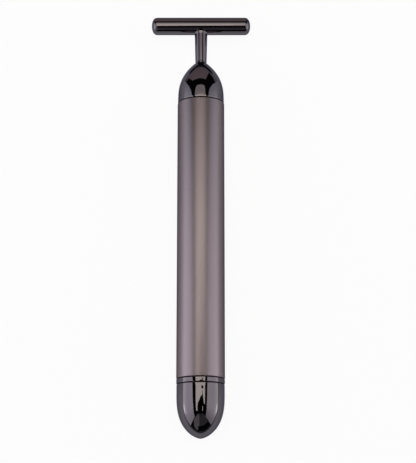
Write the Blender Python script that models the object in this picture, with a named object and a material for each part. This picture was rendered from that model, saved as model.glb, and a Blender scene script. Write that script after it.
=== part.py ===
# Vibrating beauty wand with a T-shaped head, one AA cell and a twist cap that switches it on.
# The wand lies on its side, as it rests on a table: its axis runs along Y, the T head is at +Y,
# the bar lies along X and +Z is up. Every piece is first modelled upright, with its height
# measured from the tip of the cap, and one empty on the wand's axis lays them all down.

from math import cos, pi, sin

import bmesh
import bpy
from mathutils import Matrix, Vector

for old_object in list(bpy.data.objects):
    bpy.data.objects.remove(old_object, do_unlink=True)

mm = 0.001

# Driving dimensions of what shows
tube_diameter = 17.2 * mm
tube_length = 101.3 * mm
cap_step_in = 0.07 * mm
cap_nose_length = 15.9 * mm
cap_skirt_height = 2.8 * mm
ring_width = 1.6 * mm
dome_step_in = 0.125 * mm
dome_height = 15.4 * mm
dome_collar_height = 0.7 * mm
dome_land_diameter = 4.7 * mm
stem_foot_diameter = 4.17 * mm
stem_top_diameter = 4.68 * mm
stem_height = 15.05 * mm
bar_diameter = 6.56 * mm
bar_length = 36.7 * mm
bar_end_depth = 2.2 * mm

# Driving dimensions of what is inside
tube_wall = 1.1 * mm
battery_room = 0.5 * mm
battery_length = 50.5 * mm
holder_neck_wall = 0.9 * mm
motor_length = 16.0 * mm
screw_diameter = 2.5 * mm
spring_wire = 0.5 * mm
lead_diameter = 1.0 * mm

# The screw thread that the cap turns on
thread_lead = 1.5 * mm
thread_depth = 0.35 * mm
thread_base_width = 0.75 * mm
thread_crest_width = 0.35 * mm
thread_embed = 0.1 * mm
thread_turns = 2.25

# Fits and clearances
seam = 0.3 * mm
seat_gap = 0.2 * mm
close_gap = 0.1 * mm
running_gap = 0.05 * mm
thread_gap = 0.12 * mm
cell_gap = 0.15 * mm
edge_break = 0.15 * mm
cut_overrun = 1.0 * mm
pole_merge = 0.0001 * mm

# How finely round things are divided
round_sides = 40
bar_sides = 24
inner_sides = 20
small_sides = 12
nose_steps = 12
bar_end_steps = 6
plug_steps = 6
weight_steps = 10
thread_steps = 24
spring_steps = 12
spring_bevel_steps = 1
lead_bevel_steps = 2
lead_steps = 3

# Shape of the ends: the first power swells the sides, the second sets how pointed the tip is
cap_swell, cap_point = 2.84, 1.6
dome_swell, dome_point = 2.74, 1.0
bar_swell, bar_point = 2.3, 2.3

# Radii that several pieces share
tube_radius = tube_diameter / 2
tube_bore = tube_radius - tube_wall
cap_radius = tube_radius - cap_step_in
dome_radius = tube_radius - dome_step_in
bar_radius = bar_diameter / 2
cell_radius = tube_bore - battery_room
insert_radius = tube_bore - seat_gap

# Heights of the seams, counted up from the tip of the cap
cap_top = cap_nose_length + cap_skirt_height
ring_bottom = cap_top + seam
ring_top = ring_bottom + ring_width
tube_bottom = ring_top + seam
tube_top = tube_bottom + tube_length
dome_bottom = tube_top + seam
dome_top = dome_bottom + dome_height
bar_axis = dome_top + stem_height
total_length = bar_axis + bar_radius


# Modelling helpers

wand_axis = bpy.data.objects.new("wand_axis", None)
bpy.context.scene.collection.objects.link(wand_axis)


def add_object(name, mesh, colour, roughness, metallic):
    """Link a mesh under its own name, give it its finish and hang it on the wand's axis."""
    material = bpy.data.materials.new(name + "_finish")
    material.use_nodes = True
    shader = material.node_tree.nodes["Principled BSDF"]
    shader.inputs["Base Color"].default_value = (*colour, 1.0)
    shader.inputs["Roughness"].default_value = roughness
    shader.inputs["Metallic"].default_value = metallic
    mesh.materials.append(material)
    mesh.shade_smooth()
    mesh.set_sharp_from_angle(angle=pi / 6)
    piece = bpy.data.objects.new(name, mesh)
    bpy.context.scene.collection.objects.link(piece)
    piece.parent = wand_axis
    return piece


def mesh_from(name, body):
    """Turn a bmesh into a mesh with its faces pointing outwards."""
    bmesh.ops.recalc_face_normals(body, faces=body.faces)
    mesh = bpy.data.meshes.new(name)
    body.to_mesh(mesh)
    body.free()
    return mesh


def turned_mesh(name, outline, sides):
    """Spin a closed outline of (radius, height) points round the wand's axis."""
    body = bmesh.new()
    start = Matrix.Rotation(pi / sides, 4, "Z")
    corners = [body.verts.new(start @ Vector((radius, 0, height))) for radius, height in outline]
    edges = [body.edges.new((corners[i - 1], corners[i])) for i in range(len(corners))]
    bmesh.ops.spin(body, geom=corners + edges, cent=(0, 0, 0), axis=(0, 0, 1),
                   angle=2 * pi, steps=sides, use_merge=True)
    bmesh.ops.remove_doubles(body, verts=body.verts, dist=pole_merge)
    return mesh_from(name, body)


def turned(name, outline, sides, colour, roughness, metallic):
    return add_object(name, turned_mesh(name, outline, sides), colour, roughness, metallic)


def extruded_mesh(name, outline, place, low, high):
    """Extrude a closed outline from low to high; place turns (u, v, depth) into a point."""
    body = bmesh.new()
    face = body.faces.new([body.verts.new(place(u, v, low)) for u, v in outline])
    grown = bmesh.ops.extrude_face_region(body, geom=[face])
    far = [item for item in grown["geom"] if isinstance(item, bmesh.types.BMVert)]
    shift = Vector(place(0, 0, high)) - Vector(place(0, 0, low))
    bmesh.ops.translate(body, verts=far, vec=shift)
    return mesh_from(name, body)


def cutter(name, mesh):
    """A hidden tool body: it shapes another piece and isn't a piece itself."""
    tool = bpy.data.objects.new(name, mesh)
    bpy.context.scene.collection.objects.link(tool)
    tool.parent = wand_axis
    tool.hide_render = True
    tool.display_type = "WIRE"
    return tool


def combine(piece, tool, operation):
    change = piece.modifiers.new(tool.name, "BOOLEAN")
    change.operation = operation
    change.solver = "EXACT"
    change.object = tool


def cylinder_outline(radius, low, high):
    return [(0, low), (radius, low), (radius, high), (0, high)]


def ring_outline(inner, outer, low, high):
    return [(inner, low), (outer, low), (outer, high), (inner, high)]


def nose_outline(radius, length, swell, point, steps):
    """Points of a rounded end, from its full radius to its tip, as (radius, distance)."""
    points = []
    for step in range(steps + 1):
        turn = pi / 2 * step / steps
        points.append((radius * cos(turn) ** (2 / point), length * sin(turn) ** (2 / swell)))
    points[-1] = (0, length)
    return points


def wire_tube(name, centres, diameter, bevel_resolution, colour, roughness, metallic):
    """A round wire through a list of points, with flat closed ends."""
    curve = bpy.data.curves.new(name, "CURVE")
    curve.dimensions = "3D"
    curve.bevel_depth = diameter / 2
    curve.bevel_resolution = bevel_resolution
    curve.use_fill_caps = True
    spline = curve.splines.new("POLY")
    spline.points.add(len(centres) - 1)
    for point, centre in zip(spline.points, centres):
        point.co = (*centre, 1)
    sketch = bpy.data.objects.new(name + "_route", curve)
    bpy.context.scene.collection.objects.link(sketch)
    mesh = bpy.data.meshes.new_from_object(sketch)
    bpy.data.objects.remove(sketch, do_unlink=True)
    body = bmesh.new()
    body.from_mesh(mesh)
    bmesh.ops.remove_doubles(body, verts=body.verts, dist=pole_merge)
    mesh.materials.clear()
    return add_object(name, mesh_from(name, body), colour, roughness, metallic)


def along_x(u, v, depth):
    return (u, depth, v)


def along_z(u, v, depth):
    return (u, v, depth)


# Base cap, its plug and contacts

cap_wall = 1.2 * mm
cap_plug_height = 6.6 * mm
cap_seal_height = 0.95 * mm
contact_thickness = 0.5 * mm
rivet_head_diameter = 4.0 * mm
rivet_head_height = 0.5 * mm
rivet_shank_diameter = 1.6 * mm
rivet_length = 4.5 * mm
stub_length = 7.0 * mm
stub_wall = 0.35 * mm
stub_bore = cell_radius + cell_gap
stub_radius = stub_bore + stub_wall
stub_bottom = ring_bottom - stub_length
male_crest = stub_radius + thread_depth
female_root = male_crest + thread_gap
female_crest = female_root - thread_depth
male_start = stub_bottom + thread_lead
seal_outer = female_root + close_gap / 2
seal_top = ring_bottom - close_gap / 2
seal_bottom = seal_top - cap_seal_height
seal_room_bottom = seal_bottom - seam
cap_mouth_bore = seal_outer + close_gap
contact_top = stub_bottom - seam
contact_bottom = contact_top - contact_thickness
plug_top = contact_bottom - close_gap
plug_bottom = plug_top - cap_plug_height
cap_step = stub_bottom + thread_lead / 2
cap_floor_bore = stub_radius + cell_gap
contact_radius = cap_floor_bore - seat_gap


def thread_ridge_mesh(name, base_radius, crest_radius, first_height):
    """A right-hand helical ridge with thin ends, whose base lies in the wall it grows from."""
    body = bmesh.new()
    steps = round(thread_turns * thread_steps)
    fade_steps = thread_steps / 4
    base = base_radius - thread_embed if crest_radius > base_radius else base_radius + thread_embed
    sections = []
    for step in range(steps + 1):
        angle = 2 * pi * step / thread_steps
        centre = first_height + thread_lead * step / thread_steps
        share = min(1, (step + 1) / fade_steps, (steps - step + 1) / fade_steps)
        crest = base_radius + (crest_radius - base_radius) * share
        points = [(base, -thread_base_width / 2), (crest, -thread_crest_width / 2),
                  (crest, thread_crest_width / 2), (base, thread_base_width / 2)]
        sections.append([body.verts.new((radius * cos(angle), radius * sin(angle), centre + rise))
                         for radius, rise in points])
    for near, far in zip(sections, sections[1:]):
        for corner in range(4):
            body.faces.new((near[corner - 1], near[corner], far[corner], far[corner - 1]))
    body.faces.new(sections[0])
    body.faces.new(sections[-1])
    return mesh_from(name, body)


def cap_inside_radius(height):
    """Radius of the cap's inner wall in its nose, at a height above the tip."""
    radius = cap_radius - cap_wall
    reach = cap_nose_length - cap_wall
    rise = max(0, min(1, (cap_nose_length - height) / reach))
    return radius * (1 - rise ** cap_swell) ** (1 / cap_point)


def make_base_cap():
    outer_nose = nose_outline(cap_radius, cap_nose_length, cap_swell, cap_point, nose_steps)
    inner_nose = nose_outline(cap_radius - cap_wall, cap_nose_length - cap_wall, cap_swell, cap_point,
                              nose_steps)
    outer = [(radius, cap_nose_length - distance) for radius, distance in outer_nose]
    floor = contact_bottom - close_gap
    inner = [(radius, cap_nose_length - distance) for radius, distance in inner_nose
             if cap_nose_length - distance < floor]
    shelf = [(cap_inside_radius(floor), floor), (cap_floor_bore, floor), (cap_floor_bore, cap_step),
             (female_root, cap_step + female_root - cap_floor_bore),
             (female_root, seal_room_bottom), (cap_mouth_bore, seal_room_bottom)]
    mouth = [(cap_mouth_bore, cap_top), (cap_radius - edge_break, cap_top),
             (cap_radius, cap_top - edge_break)]
    outline = mouth + outer + list(reversed(inner)) + shelf
    cap = turned("base_cap", outline, round_sides, (0.08, 0.075, 0.08), 0.12, 1.0)
    ridge = cutter("base_cap_thread", thread_ridge_mesh(
        "base_cap_thread", female_root, female_crest, male_start + thread_lead / 2))
    combine(cap, ridge, "UNION")


def make_cap_plug():
    heights = [plug_bottom + cap_plug_height * step / plug_steps for step in range(plug_steps + 1)]
    side = [(cap_inside_radius(height) - seat_gap, height) for height in heights]
    hole = rivet_shank_diameter / 2 + close_gap
    turned("cap_plug", [(hole, plug_bottom)] + side + [(hole, plug_top)], inner_sides,
           (0.02, 0.02, 0.022), 0.5, 0.0)


def make_cap_contacts():
    hole = rivet_shank_diameter / 2 + close_gap
    turned("negative_contact", ring_outline(hole, contact_radius, contact_bottom, contact_top),
           round_sides, (0.75, 0.73, 0.68), 0.3, 1.0)
    shank = rivet_shank_diameter / 2
    head = rivet_head_diameter / 2
    head_low = contact_top + close_gap / 2
    head_high = head_low + rivet_head_height
    rim = rivet_head_height / 2
    turned("contact_rivet", [(0, head_low - rivet_length), (shank, head_low - rivet_length),
                             (shank, head_low), (head, head_low), (head, head_low + rim),
                             (head - rim, head_high), (0, head_high)],
           small_sides, (0.72, 0.6, 0.38), 0.3, 1.0)


# Base ring with its threaded stub, and the seal round it

ferrule_sleeve_wall = 0.6 * mm
ferrule_sleeve_length = 6.4 * mm
ferrule_sleeve_radius = stub_bore + ferrule_sleeve_wall
counterbore_radius = ferrule_sleeve_radius + seat_gap
counterbore_top = ring_top + ferrule_sleeve_length + seam


def make_base_ferrule():
    outline = [(stub_bore, stub_bottom), (stub_radius, stub_bottom), (stub_radius, ring_bottom),
               (tube_radius - edge_break, ring_bottom), (tube_radius, ring_bottom + edge_break),
               (tube_radius, ring_top - edge_break), (tube_radius - edge_break, ring_top),
               (ferrule_sleeve_radius, ring_top), (ferrule_sleeve_radius, ring_top + ferrule_sleeve_length),
               (stub_bore, ring_top + ferrule_sleeve_length)]
    ferrule = turned("base_ferrule", outline, round_sides, (0.08, 0.075, 0.08), 0.12, 1.0)
    ridge = cutter("base_ferrule_thread", thread_ridge_mesh(
        "base_ferrule_thread", stub_radius, male_crest, male_start))
    combine(ferrule, ridge, "UNION")


def make_cap_seal():
    inner = stub_radius + close_gap / 2
    turned("cap_seal", [(inner, seal_bottom), (seal_outer - edge_break, seal_bottom),
                        (seal_outer, seal_bottom + edge_break), (seal_outer, seal_top - edge_break),
                        (seal_outer - edge_break, seal_top), (inner, seal_top)],
           round_sides, (0.012, 0.012, 0.012), 0.7, 0.0)


# Handle tube

def make_handle_tube():
    outline = [(counterbore_radius, tube_bottom), (tube_radius - edge_break, tube_bottom),
               (tube_radius, tube_bottom + edge_break), (tube_radius, tube_top - edge_break),
               (tube_radius - edge_break, tube_top), (tube_bore, tube_top),
               (tube_bore, counterbore_top), (counterbore_radius, counterbore_top)]
    turned("handle_tube", outline, round_sides, (0.27, 0.215, 0.225), 0.33, 1.0)


# Battery

battery_jacket_wall = 0.25 * mm
battery_lip_width = 0.9 * mm
battery_lip_height = 0.3 * mm
nub_diameter = 5.5 * mm
nub_height = 1.1 * mm
negative_cap_share = 0.64
negative_cap_height = 0.4 * mm
battery_bottom = contact_top + close_gap / 2 + rivet_head_height + close_gap
battery_top = battery_bottom + battery_length
can_radius = cell_radius - battery_jacket_wall - running_gap
can_bottom = battery_bottom + negative_cap_height + close_gap
can_top = battery_top - nub_height


def make_battery():
    nub = nub_diameter / 2
    turned("battery_can", [(0, can_bottom), (can_radius, can_bottom), (can_radius, can_top),
                           (nub, can_top), (nub, battery_top - edge_break),
                           (nub - edge_break, battery_top), (0, battery_top)],
           inner_sides, (0.6, 0.6, 0.6), 0.3, 1.0)
    disc_top = battery_bottom + negative_cap_height
    turned("battery_negative_cap", cylinder_outline(cell_radius * negative_cap_share, battery_bottom,
                                                    disc_top),
           inner_sides, (0.65, 0.65, 0.65), 0.3, 1.0)
    bore = can_radius + running_gap
    lip = bore - battery_lip_width
    inside_low = can_bottom - running_gap
    inside_high = can_top + running_gap
    low = inside_low - battery_lip_height
    high = inside_high + battery_lip_height
    turned("battery_jacket", [(lip, low), (cell_radius, low), (cell_radius, high), (lip, high),
                              (lip, inside_high), (bore, inside_high), (bore, inside_low), (lip, inside_low)],
           round_sides, (0.02, 0.12, 0.1), 0.35, 0.0)


# Spring and positive contact at the top of the battery

spring_turns = 3.5
spring_height = 3.6 * mm
spring_base_diameter = 7.4 * mm
spring_tip_diameter = 4.2 * mm
plate_diameter = 8.6 * mm
plate_thickness = 0.4 * mm
tail_diameter = 1.4 * mm
tail_length = 4.4 * mm
carrier_floor = 2.6 * mm
carrier_rim = 2.4 * mm
spring_bottom = battery_top + close_gap + spring_wire / 2
spring_top = spring_bottom + spring_height
plate_bottom = spring_top + spring_wire / 2 + close_gap
plate_top = plate_bottom + plate_thickness
carrier_shelf = plate_top + close_gap
carrier_top = carrier_shelf + carrier_floor
carrier_bottom = carrier_shelf - plate_thickness - carrier_rim
tail_top = plate_top + tail_length


def make_battery_spring():
    steps = round(spring_turns * spring_steps)
    centres = []
    for step in range(steps + 1):
        share = step / steps
        radius = (spring_tip_diameter + (spring_base_diameter - spring_tip_diameter) * share) / 2
        angle = 2 * pi * spring_turns * share
        height = spring_bottom + spring_height * share
        centres.append(Vector((radius * cos(angle), radius * sin(angle), height)))
    half_turn = spring_steps // 2
    least = min((near - far).length for i, near in enumerate(centres) for far in centres[i + half_turn:])
    print("battery spring, least gap between turns in mm:", round((least - spring_wire) / mm, 2))
    wire_tube("battery_spring", centres, spring_wire, spring_bevel_steps, (0.7, 0.7, 0.7), 0.25, 1.0)


def make_positive_contact():
    tail = tail_diameter / 2
    turned("positive_contact", [(0, plate_bottom), (plate_diameter / 2, plate_bottom),
                                (plate_diameter / 2, plate_top), (tail, plate_top),
                                (tail, tail_top), (0, tail_top)],
           small_sides, (0.72, 0.6, 0.38), 0.3, 1.0)


def make_contact_carrier():
    pocket = plate_diameter / 2 + seat_gap
    hole = tail_diameter / 2 + close_gap
    turned("contact_carrier", [(pocket, carrier_bottom), (insert_radius, carrier_bottom),
                               (insert_radius, carrier_top), (hole, carrier_top),
                               (hole, carrier_shelf), (pocket, carrier_shelf)],
           inner_sides, (0.03, 0.03, 0.03), 0.5, 0.0)


# Motor, from its front downwards

dome_sleeve_length = 5.5 * mm
dome_sleeve_wall = 1.0 * mm
dome_sleeve_bore = insert_radius - dome_sleeve_wall
sleeve_bottom = dome_bottom - dome_sleeve_length
holder_shoulder = sleeve_bottom - seam
neck_height = 4.5 * mm
neck_radius = dome_sleeve_bore - seam
motor_radius = neck_radius - holder_neck_wall - close_gap
holder_floor = 2.6 * mm
holder_window_share = 0.74
motor_recess = 0.5 * mm
can_wall = 0.5 * mm
shaft_share = 0.15
front_boss_share = 0.3
bush_length = 2.2 * mm
end_cap_flange = 1.0 * mm
end_cap_plug = 1.1 * mm
magnet_wall = 0.85 * mm
magnet_length = 11.0 * mm
armature_length = 8.5 * mm
armature_poles = 3
armature_slot_width = 1.1 * mm
armature_hub_share = 0.34
commutator_share = 0.26
commutator_length = 2.2 * mm
brush_offset_share = 0.5
brush_thickness = 0.3 * mm
brush_width = 1.4 * mm
brush_tail = 2.4 * mm
brush_rise = 0.4 * mm
shaft_reach = 8.6 * mm
holder_top = holder_shoulder + neck_height
motor_front = holder_top - motor_recess
motor_rear = motor_front - motor_length
end_cap_bottom = motor_rear - close_gap - end_cap_flange
end_cap_top = motor_rear + end_cap_plug
holder_seat = end_cap_bottom - seat_gap
holder_bottom = holder_seat - holder_floor
can_bore = motor_radius - can_wall
magnet_outer = can_bore - close_gap
magnet_inner = magnet_outer - magnet_wall
magnet_top = motor_front - can_wall - seam
armature_radius = magnet_inner - seam
armature_top = magnet_top - (magnet_length - armature_length) / 2
armature_bottom = armature_top - armature_length
commutator_top = armature_bottom - seam
commutator_bottom = commutator_top - commutator_length
shaft_radius = motor_radius * shaft_share
rotor_bore = shaft_radius + running_gap
front_boss_radius = motor_radius * front_boss_share
commutator_radius = motor_radius * commutator_share
brush_offset = motor_radius * brush_offset_share
holder_window = motor_radius * holder_window_share


def make_motor_holder():
    bore = motor_radius + close_gap
    turned("motor_holder", [(holder_window, holder_bottom), (insert_radius, holder_bottom),
                            (insert_radius, holder_shoulder), (neck_radius, holder_shoulder),
                            (neck_radius, holder_top), (bore, holder_top), (bore, holder_seat),
                            (holder_window, holder_seat)],
           inner_sides, (0.03, 0.03, 0.03), 0.5, 0.0)


def make_motor_case():
    hole = front_boss_radius + close_gap
    turned("motor_can", [(can_bore, motor_rear), (motor_radius, motor_rear), (motor_radius, motor_front),
                         (hole, motor_front), (hole, motor_front - can_wall),
                         (can_bore, motor_front - can_wall)],
           inner_sides, (0.55, 0.55, 0.56), 0.25, 1.0)
    bush_bottom = motor_front - can_wall - seam
    bush_top = bush_bottom + bush_length
    turned("motor_bush", ring_outline(rotor_bore, front_boss_radius, bush_bottom, bush_top),
           inner_sides, (0.7, 0.52, 0.3), 0.4, 1.0)
    turned("motor_magnet", ring_outline(magnet_inner, magnet_outer, magnet_top - magnet_length, magnet_top),
           inner_sides, (0.06, 0.06, 0.065), 0.6, 0.0)
    plug = can_bore - close_gap
    end_cap = turned("motor_end_cap", [(rotor_bore, end_cap_bottom), (motor_radius, end_cap_bottom),
                                       (motor_radius, end_cap_bottom + end_cap_flange),
                                       (plug, end_cap_bottom + end_cap_flange), (plug, end_cap_top),
                                       (rotor_bore, end_cap_top)],
                     inner_sides, (0.85, 0.84, 0.8), 0.5, 0.0)
    for side in (1, -1):
        centre = side * brush_offset
        half = brush_thickness / 2 + close_gap
        slot = [(centre - half, end_cap_bottom - cut_overrun), (centre + half, end_cap_bottom - cut_overrun),
                (centre + half, end_cap_top + cut_overrun), (centre - half, end_cap_top + cut_overrun)]
        reach = brush_width / 2 + close_gap
        tool_name = "brush_slot_plus" if side > 0 else "brush_slot_minus"
        slot_mesh = extruded_mesh(tool_name, slot, along_x, -reach, reach)
        combine(end_cap, cutter(tool_name, slot_mesh), "DIFFERENCE")


def make_motor_brushes():
    """Two spring strips: each tail passes the end cap and each leaf leans on the commutator."""
    low = end_cap_bottom - brush_tail
    knee = end_cap_top + brush_rise
    high = commutator_top - seam
    touch = commutator_radius + close_gap
    outer = brush_offset + brush_thickness / 2
    inner = brush_offset - brush_thickness / 2
    for name, side in (("motor_brush_positive", 1), ("motor_brush_negative", -1)):
        strip = [(outer, low), (outer, knee), (touch + brush_thickness, high), (touch, high),
                 (inner, knee), (inner, low)]
        outline = [(side * across, height) for across, height in strip]
        mesh = extruded_mesh(name, outline, along_x, -brush_width / 2, brush_width / 2)
        add_object(name, mesh, (0.72, 0.45, 0.25), 0.3, 1.0)


def make_rotor():
    shaft_bottom = end_cap_bottom + running_gap
    shaft_top = motor_front + shaft_reach
    turned("motor_shaft", cylinder_outline(shaft_radius, shaft_bottom, shaft_top), small_sides,
           (0.6, 0.6, 0.62), 0.2, 1.0)
    bars = ring_outline(rotor_bore, commutator_radius, commutator_bottom, commutator_top)
    turned("motor_commutator", bars, small_sides, (0.75, 0.42, 0.25), 0.3, 1.0)
    core = ring_outline(rotor_bore, armature_radius, armature_bottom, armature_top)
    armature = turned("motor_armature", core, bar_sides, (0.4, 0.25, 0.15), 0.5, 1.0)
    hub = motor_radius * armature_hub_share
    half = armature_slot_width / 2
    for number in range(armature_poles):
        turn = 2 * pi * number / armature_poles
        corners = [(hub, -half), (armature_radius + cut_overrun, -half),
                   (armature_radius + cut_overrun, half), (hub, half)]
        slot = [(u * cos(turn) - v * sin(turn), u * sin(turn) + v * cos(turn)) for u, v in corners]
        tool_name = "armature_slot_" + str(number + 1)
        mesh = extruded_mesh(tool_name, slot, along_z, armature_bottom - cut_overrun,
                             armature_top + cut_overrun)
        combine(armature, cutter(tool_name, mesh), "DIFFERENCE")


weight_share = 0.92
weight_length = 6.0 * mm
weight_hub_share = 0.36
weight_flank = 0.8 * mm
weight_standoff = 2.2 * mm
weight_bottom = motor_front + weight_standoff
weight_top = weight_bottom + weight_length


def make_eccentric_weight():
    """A half disc with a hub round the shaft; its heavy half hangs towards the table."""
    radius = motor_radius * weight_share
    hub = motor_radius * weight_hub_share
    low_angle = weight_flank / radius
    hub_angle = weight_flank / hub
    outline = []
    for step in range(weight_steps + 1):
        angle = low_angle + (pi - 2 * low_angle) * step / weight_steps
        outline.append((radius * cos(angle), radius * sin(angle)))
    for step in range(weight_steps + 1):
        angle = pi - hub_angle + (pi + 2 * hub_angle) * step / weight_steps
        outline.append((hub * cos(angle), hub * sin(angle)))
    mesh = extruded_mesh("eccentric_weight", outline, along_z, weight_bottom, weight_top)
    weight = add_object("eccentric_weight", mesh, (0.5, 0.5, 0.48), 0.35, 1.0)
    bore = cylinder_outline(rotor_bore, weight_bottom - cut_overrun, weight_top + cut_overrun)
    combine(weight, cutter("weight_bore", turned_mesh("weight_bore", bore, small_sides)), "DIFFERENCE")


# Spacer, ground ring and leads between the contact carrier and the motor

ground_ring_thickness = 0.4 * mm
spacer_wall = 1.0 * mm
ground_ring_top = holder_bottom - close_gap
ground_ring_bottom = ground_ring_top - ground_ring_thickness
ground_ring_bore = holder_window + edge_break
spacer_top = ground_ring_bottom - close_gap
spacer_bottom = carrier_top + close_gap
spacer_bore = insert_radius - spacer_wall


def make_spacer_and_ground_ring():
    turned("spacer_sleeve", ring_outline(spacer_bore, insert_radius, spacer_bottom, spacer_top),
           inner_sides, (0.03, 0.03, 0.03), 0.5, 0.0)
    turned("ground_ring", ring_outline(ground_ring_bore, tube_bore - running_gap, ground_ring_bottom,
                                       ground_ring_top),
           round_sides, (0.72, 0.6, 0.38), 0.3, 1.0)


def smooth_route(points):
    """Points along one smooth curve that passes through the given points."""
    route = []
    padded = [2 * points[0] - points[1]] + points + [2 * points[-1] - points[-2]]
    for before, start, end, after in zip(padded, padded[1:], padded[2:], padded[3:]):
        for step in range(lead_steps):
            t = step / lead_steps
            route.append(0.5 * ((2 * start) + (end - before) * t
                                + (2 * before - 5 * start + 4 * end - after) * t ** 2
                                + (3 * start - before - 3 * end + after) * t ** 3))
    return route + [points[-1]]


def make_leads():
    """Each lead starts straight off its soldered joint and bends gently on its way."""
    brush_end = end_cap_bottom - brush_tail - close_gap
    start = tail_top + close_gap
    run = brush_end - start
    sway = spacer_bore / 2
    # The positive lead's route: shares of the sway across, and of the run along the wand
    route_shares = [(0, 0, 0), (0, 0, 0.08), (0.35, 0.5, 0.3), (0.9, 0.7, 0.55), (0.95, 0.2, 0.8)]
    points = [Vector((across * sway, depth * sway, start + along * run))
              for across, depth, along in route_shares]
    points.append(Vector((brush_offset, 0, brush_end - lead_diameter * 2)))
    points.append(Vector((brush_offset, 0, brush_end)))
    wire_tube("positive_lead", smooth_route(points), lead_diameter, lead_bevel_steps,
              (0.5, 0.02, 0.02), 0.45, 0.0)
    tab = ground_ring_bore + lead_diameter / 2
    low = ground_ring_bottom - close_gap
    loop_low = min(brush_end, low) - lead_diameter * 4
    points = [Vector((-brush_offset, 0, brush_end)),
              Vector((-brush_offset, 0, brush_end - lead_diameter)),
              Vector((-(brush_offset + tab) / 2, 0, loop_low)),
              Vector((-tab, 0, low - lead_diameter)),
              Vector((-tab, 0, low))]
    wire_tube("negative_lead", smooth_route(points), lead_diameter, lead_bevel_steps,
              (0.02, 0.02, 0.02), 0.45, 0.0)


# Head: dome, stem, the screw that clamps them, and the T bar

dome_wall = 1.3 * mm
dome_apex_thickness = 3.1 * mm
dome_ceiling_diameter = 6.6 * mm
stem_socket_depth = 0.6 * mm
stem_hole_depth = 8.0 * mm
bar_socket_depth = 3.6 * mm
washer_diameter = 5.0 * mm
washer_thickness = 0.6 * mm
screw_head_diameter = 4.4 * mm
screw_head_height = 1.5 * mm
screw_slot_width = 0.6 * mm
screw_slot_depth = 0.6 * mm
screw_radius = screw_diameter / 2
stem_foot_radius = stem_foot_diameter / 2
stem_top_radius = stem_top_diameter / 2
dome_ceiling = dome_top - dome_apex_thickness
stem_bottom = dome_top - stem_socket_depth + close_gap
stem_top = bar_axis - bar_radius + bar_socket_depth
washer_top = dome_ceiling - close_gap
washer_bottom = washer_top - washer_thickness
screw_seat = washer_bottom - close_gap
screw_head_bottom = screw_seat - screw_head_height


def dome_outline(radius, top_radius, low, high):
    """The dome's side from its full radius at low to the flat of top_radius at high."""
    cut_share = (1 - (top_radius / radius) ** dome_point) ** (1 / dome_swell)
    reach = (high - low) / cut_share
    points = []
    for step in range(nose_steps + 1):
        rise = cut_share * sin(pi / 2 * step / nose_steps)
        points.append((radius * (1 - rise ** dome_swell) ** (1 / dome_point), low + reach * rise))
    return points


def make_head_dome():
    collar_top = dome_bottom + dome_collar_height
    inner_radius = dome_radius - dome_wall
    outer = dome_outline(dome_radius, dome_land_diameter / 2, collar_top, dome_top)
    inner = dome_outline(inner_radius, dome_ceiling_diameter / 2, collar_top, dome_ceiling)
    socket = stem_foot_radius + close_gap
    hole = screw_radius + seat_gap
    skirt = [(dome_sleeve_bore, dome_bottom), (dome_sleeve_bore, sleeve_bottom),
             (insert_radius, sleeve_bottom), (insert_radius, dome_bottom),
             (dome_radius - edge_break, dome_bottom),
             (dome_radius, dome_bottom + edge_break)]
    top = [(socket, dome_top), (socket, dome_top - stem_socket_depth), (hole, dome_top - stem_socket_depth),
           (hole, dome_ceiling)]
    turned("head_dome", skirt + outer + top + list(reversed(inner)), round_sides,
           (0.08, 0.075, 0.08), 0.12, 1.0)


def make_stem():
    hole = screw_radius + close_gap
    turned("stem", [(hole, stem_bottom), (stem_foot_radius, stem_bottom), (stem_foot_radius, dome_top),
                    (stem_top_radius, bar_axis - bar_radius), (stem_top_radius, stem_top - edge_break),
                    (stem_top_radius - edge_break, stem_top), (0, stem_top),
                    (0, stem_bottom + stem_hole_depth), (hole, stem_bottom + stem_hole_depth)],
           inner_sides, (0.08, 0.075, 0.08), 0.12, 1.0)


def make_stem_fastening():
    washer_bore = screw_radius + close_gap
    turned("lock_washer", ring_outline(washer_bore, washer_diameter / 2, washer_bottom, washer_top),
           inner_sides, (0.5, 0.5, 0.5), 0.3, 1.0)
    head = screw_head_diameter / 2
    tip = stem_bottom + stem_hole_depth - seam
    screw = turned("stem_screw", [(0, screw_head_bottom), (head - edge_break, screw_head_bottom),
                                  (head, screw_head_bottom + edge_break), (head, screw_seat),
                                  (screw_radius, screw_seat), (screw_radius, tip - edge_break),
                                  (screw_radius - edge_break, tip), (0, tip)],
                   inner_sides, (0.5, 0.5, 0.5), 0.3, 1.0)
    half = screw_slot_width / 2
    low = screw_head_bottom - cut_overrun
    high = screw_head_bottom + screw_slot_depth
    slot = [(-half, low), (half, low), (half, high), (-half, high)]
    reach = head + cut_overrun
    slot_mesh = extruded_mesh("screw_slot", slot, along_x, -reach, reach)
    combine(screw, cutter("screw_slot", slot_mesh), "DIFFERENCE")


def make_t_bar():
    side = nose_outline(bar_radius, bar_end_depth, bar_swell, bar_point, bar_end_steps)
    straight = bar_length / 2 - bar_end_depth
    right = [(radius, straight + distance) for radius, distance in side]
    left = [(radius, -height) for radius, height in reversed(right)]
    mesh = turned_mesh("t_bar", left + right, bar_sides)
    mesh.transform(Matrix.Translation((0, 0, bar_axis)) @ Matrix.Rotation(pi / 2, 4, "Y"))
    bar = add_object("t_bar", mesh, (0.08, 0.075, 0.08), 0.12, 1.0)
    socket_radius = stem_top_radius + close_gap
    socket_top = stem_top + seat_gap
    socket = cylinder_outline(socket_radius, bar_axis - bar_radius - cut_overrun, socket_top)
    combine(bar, cutter("stem_socket", turned_mesh("stem_socket", socket, inner_sides)), "DIFFERENCE")


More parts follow.
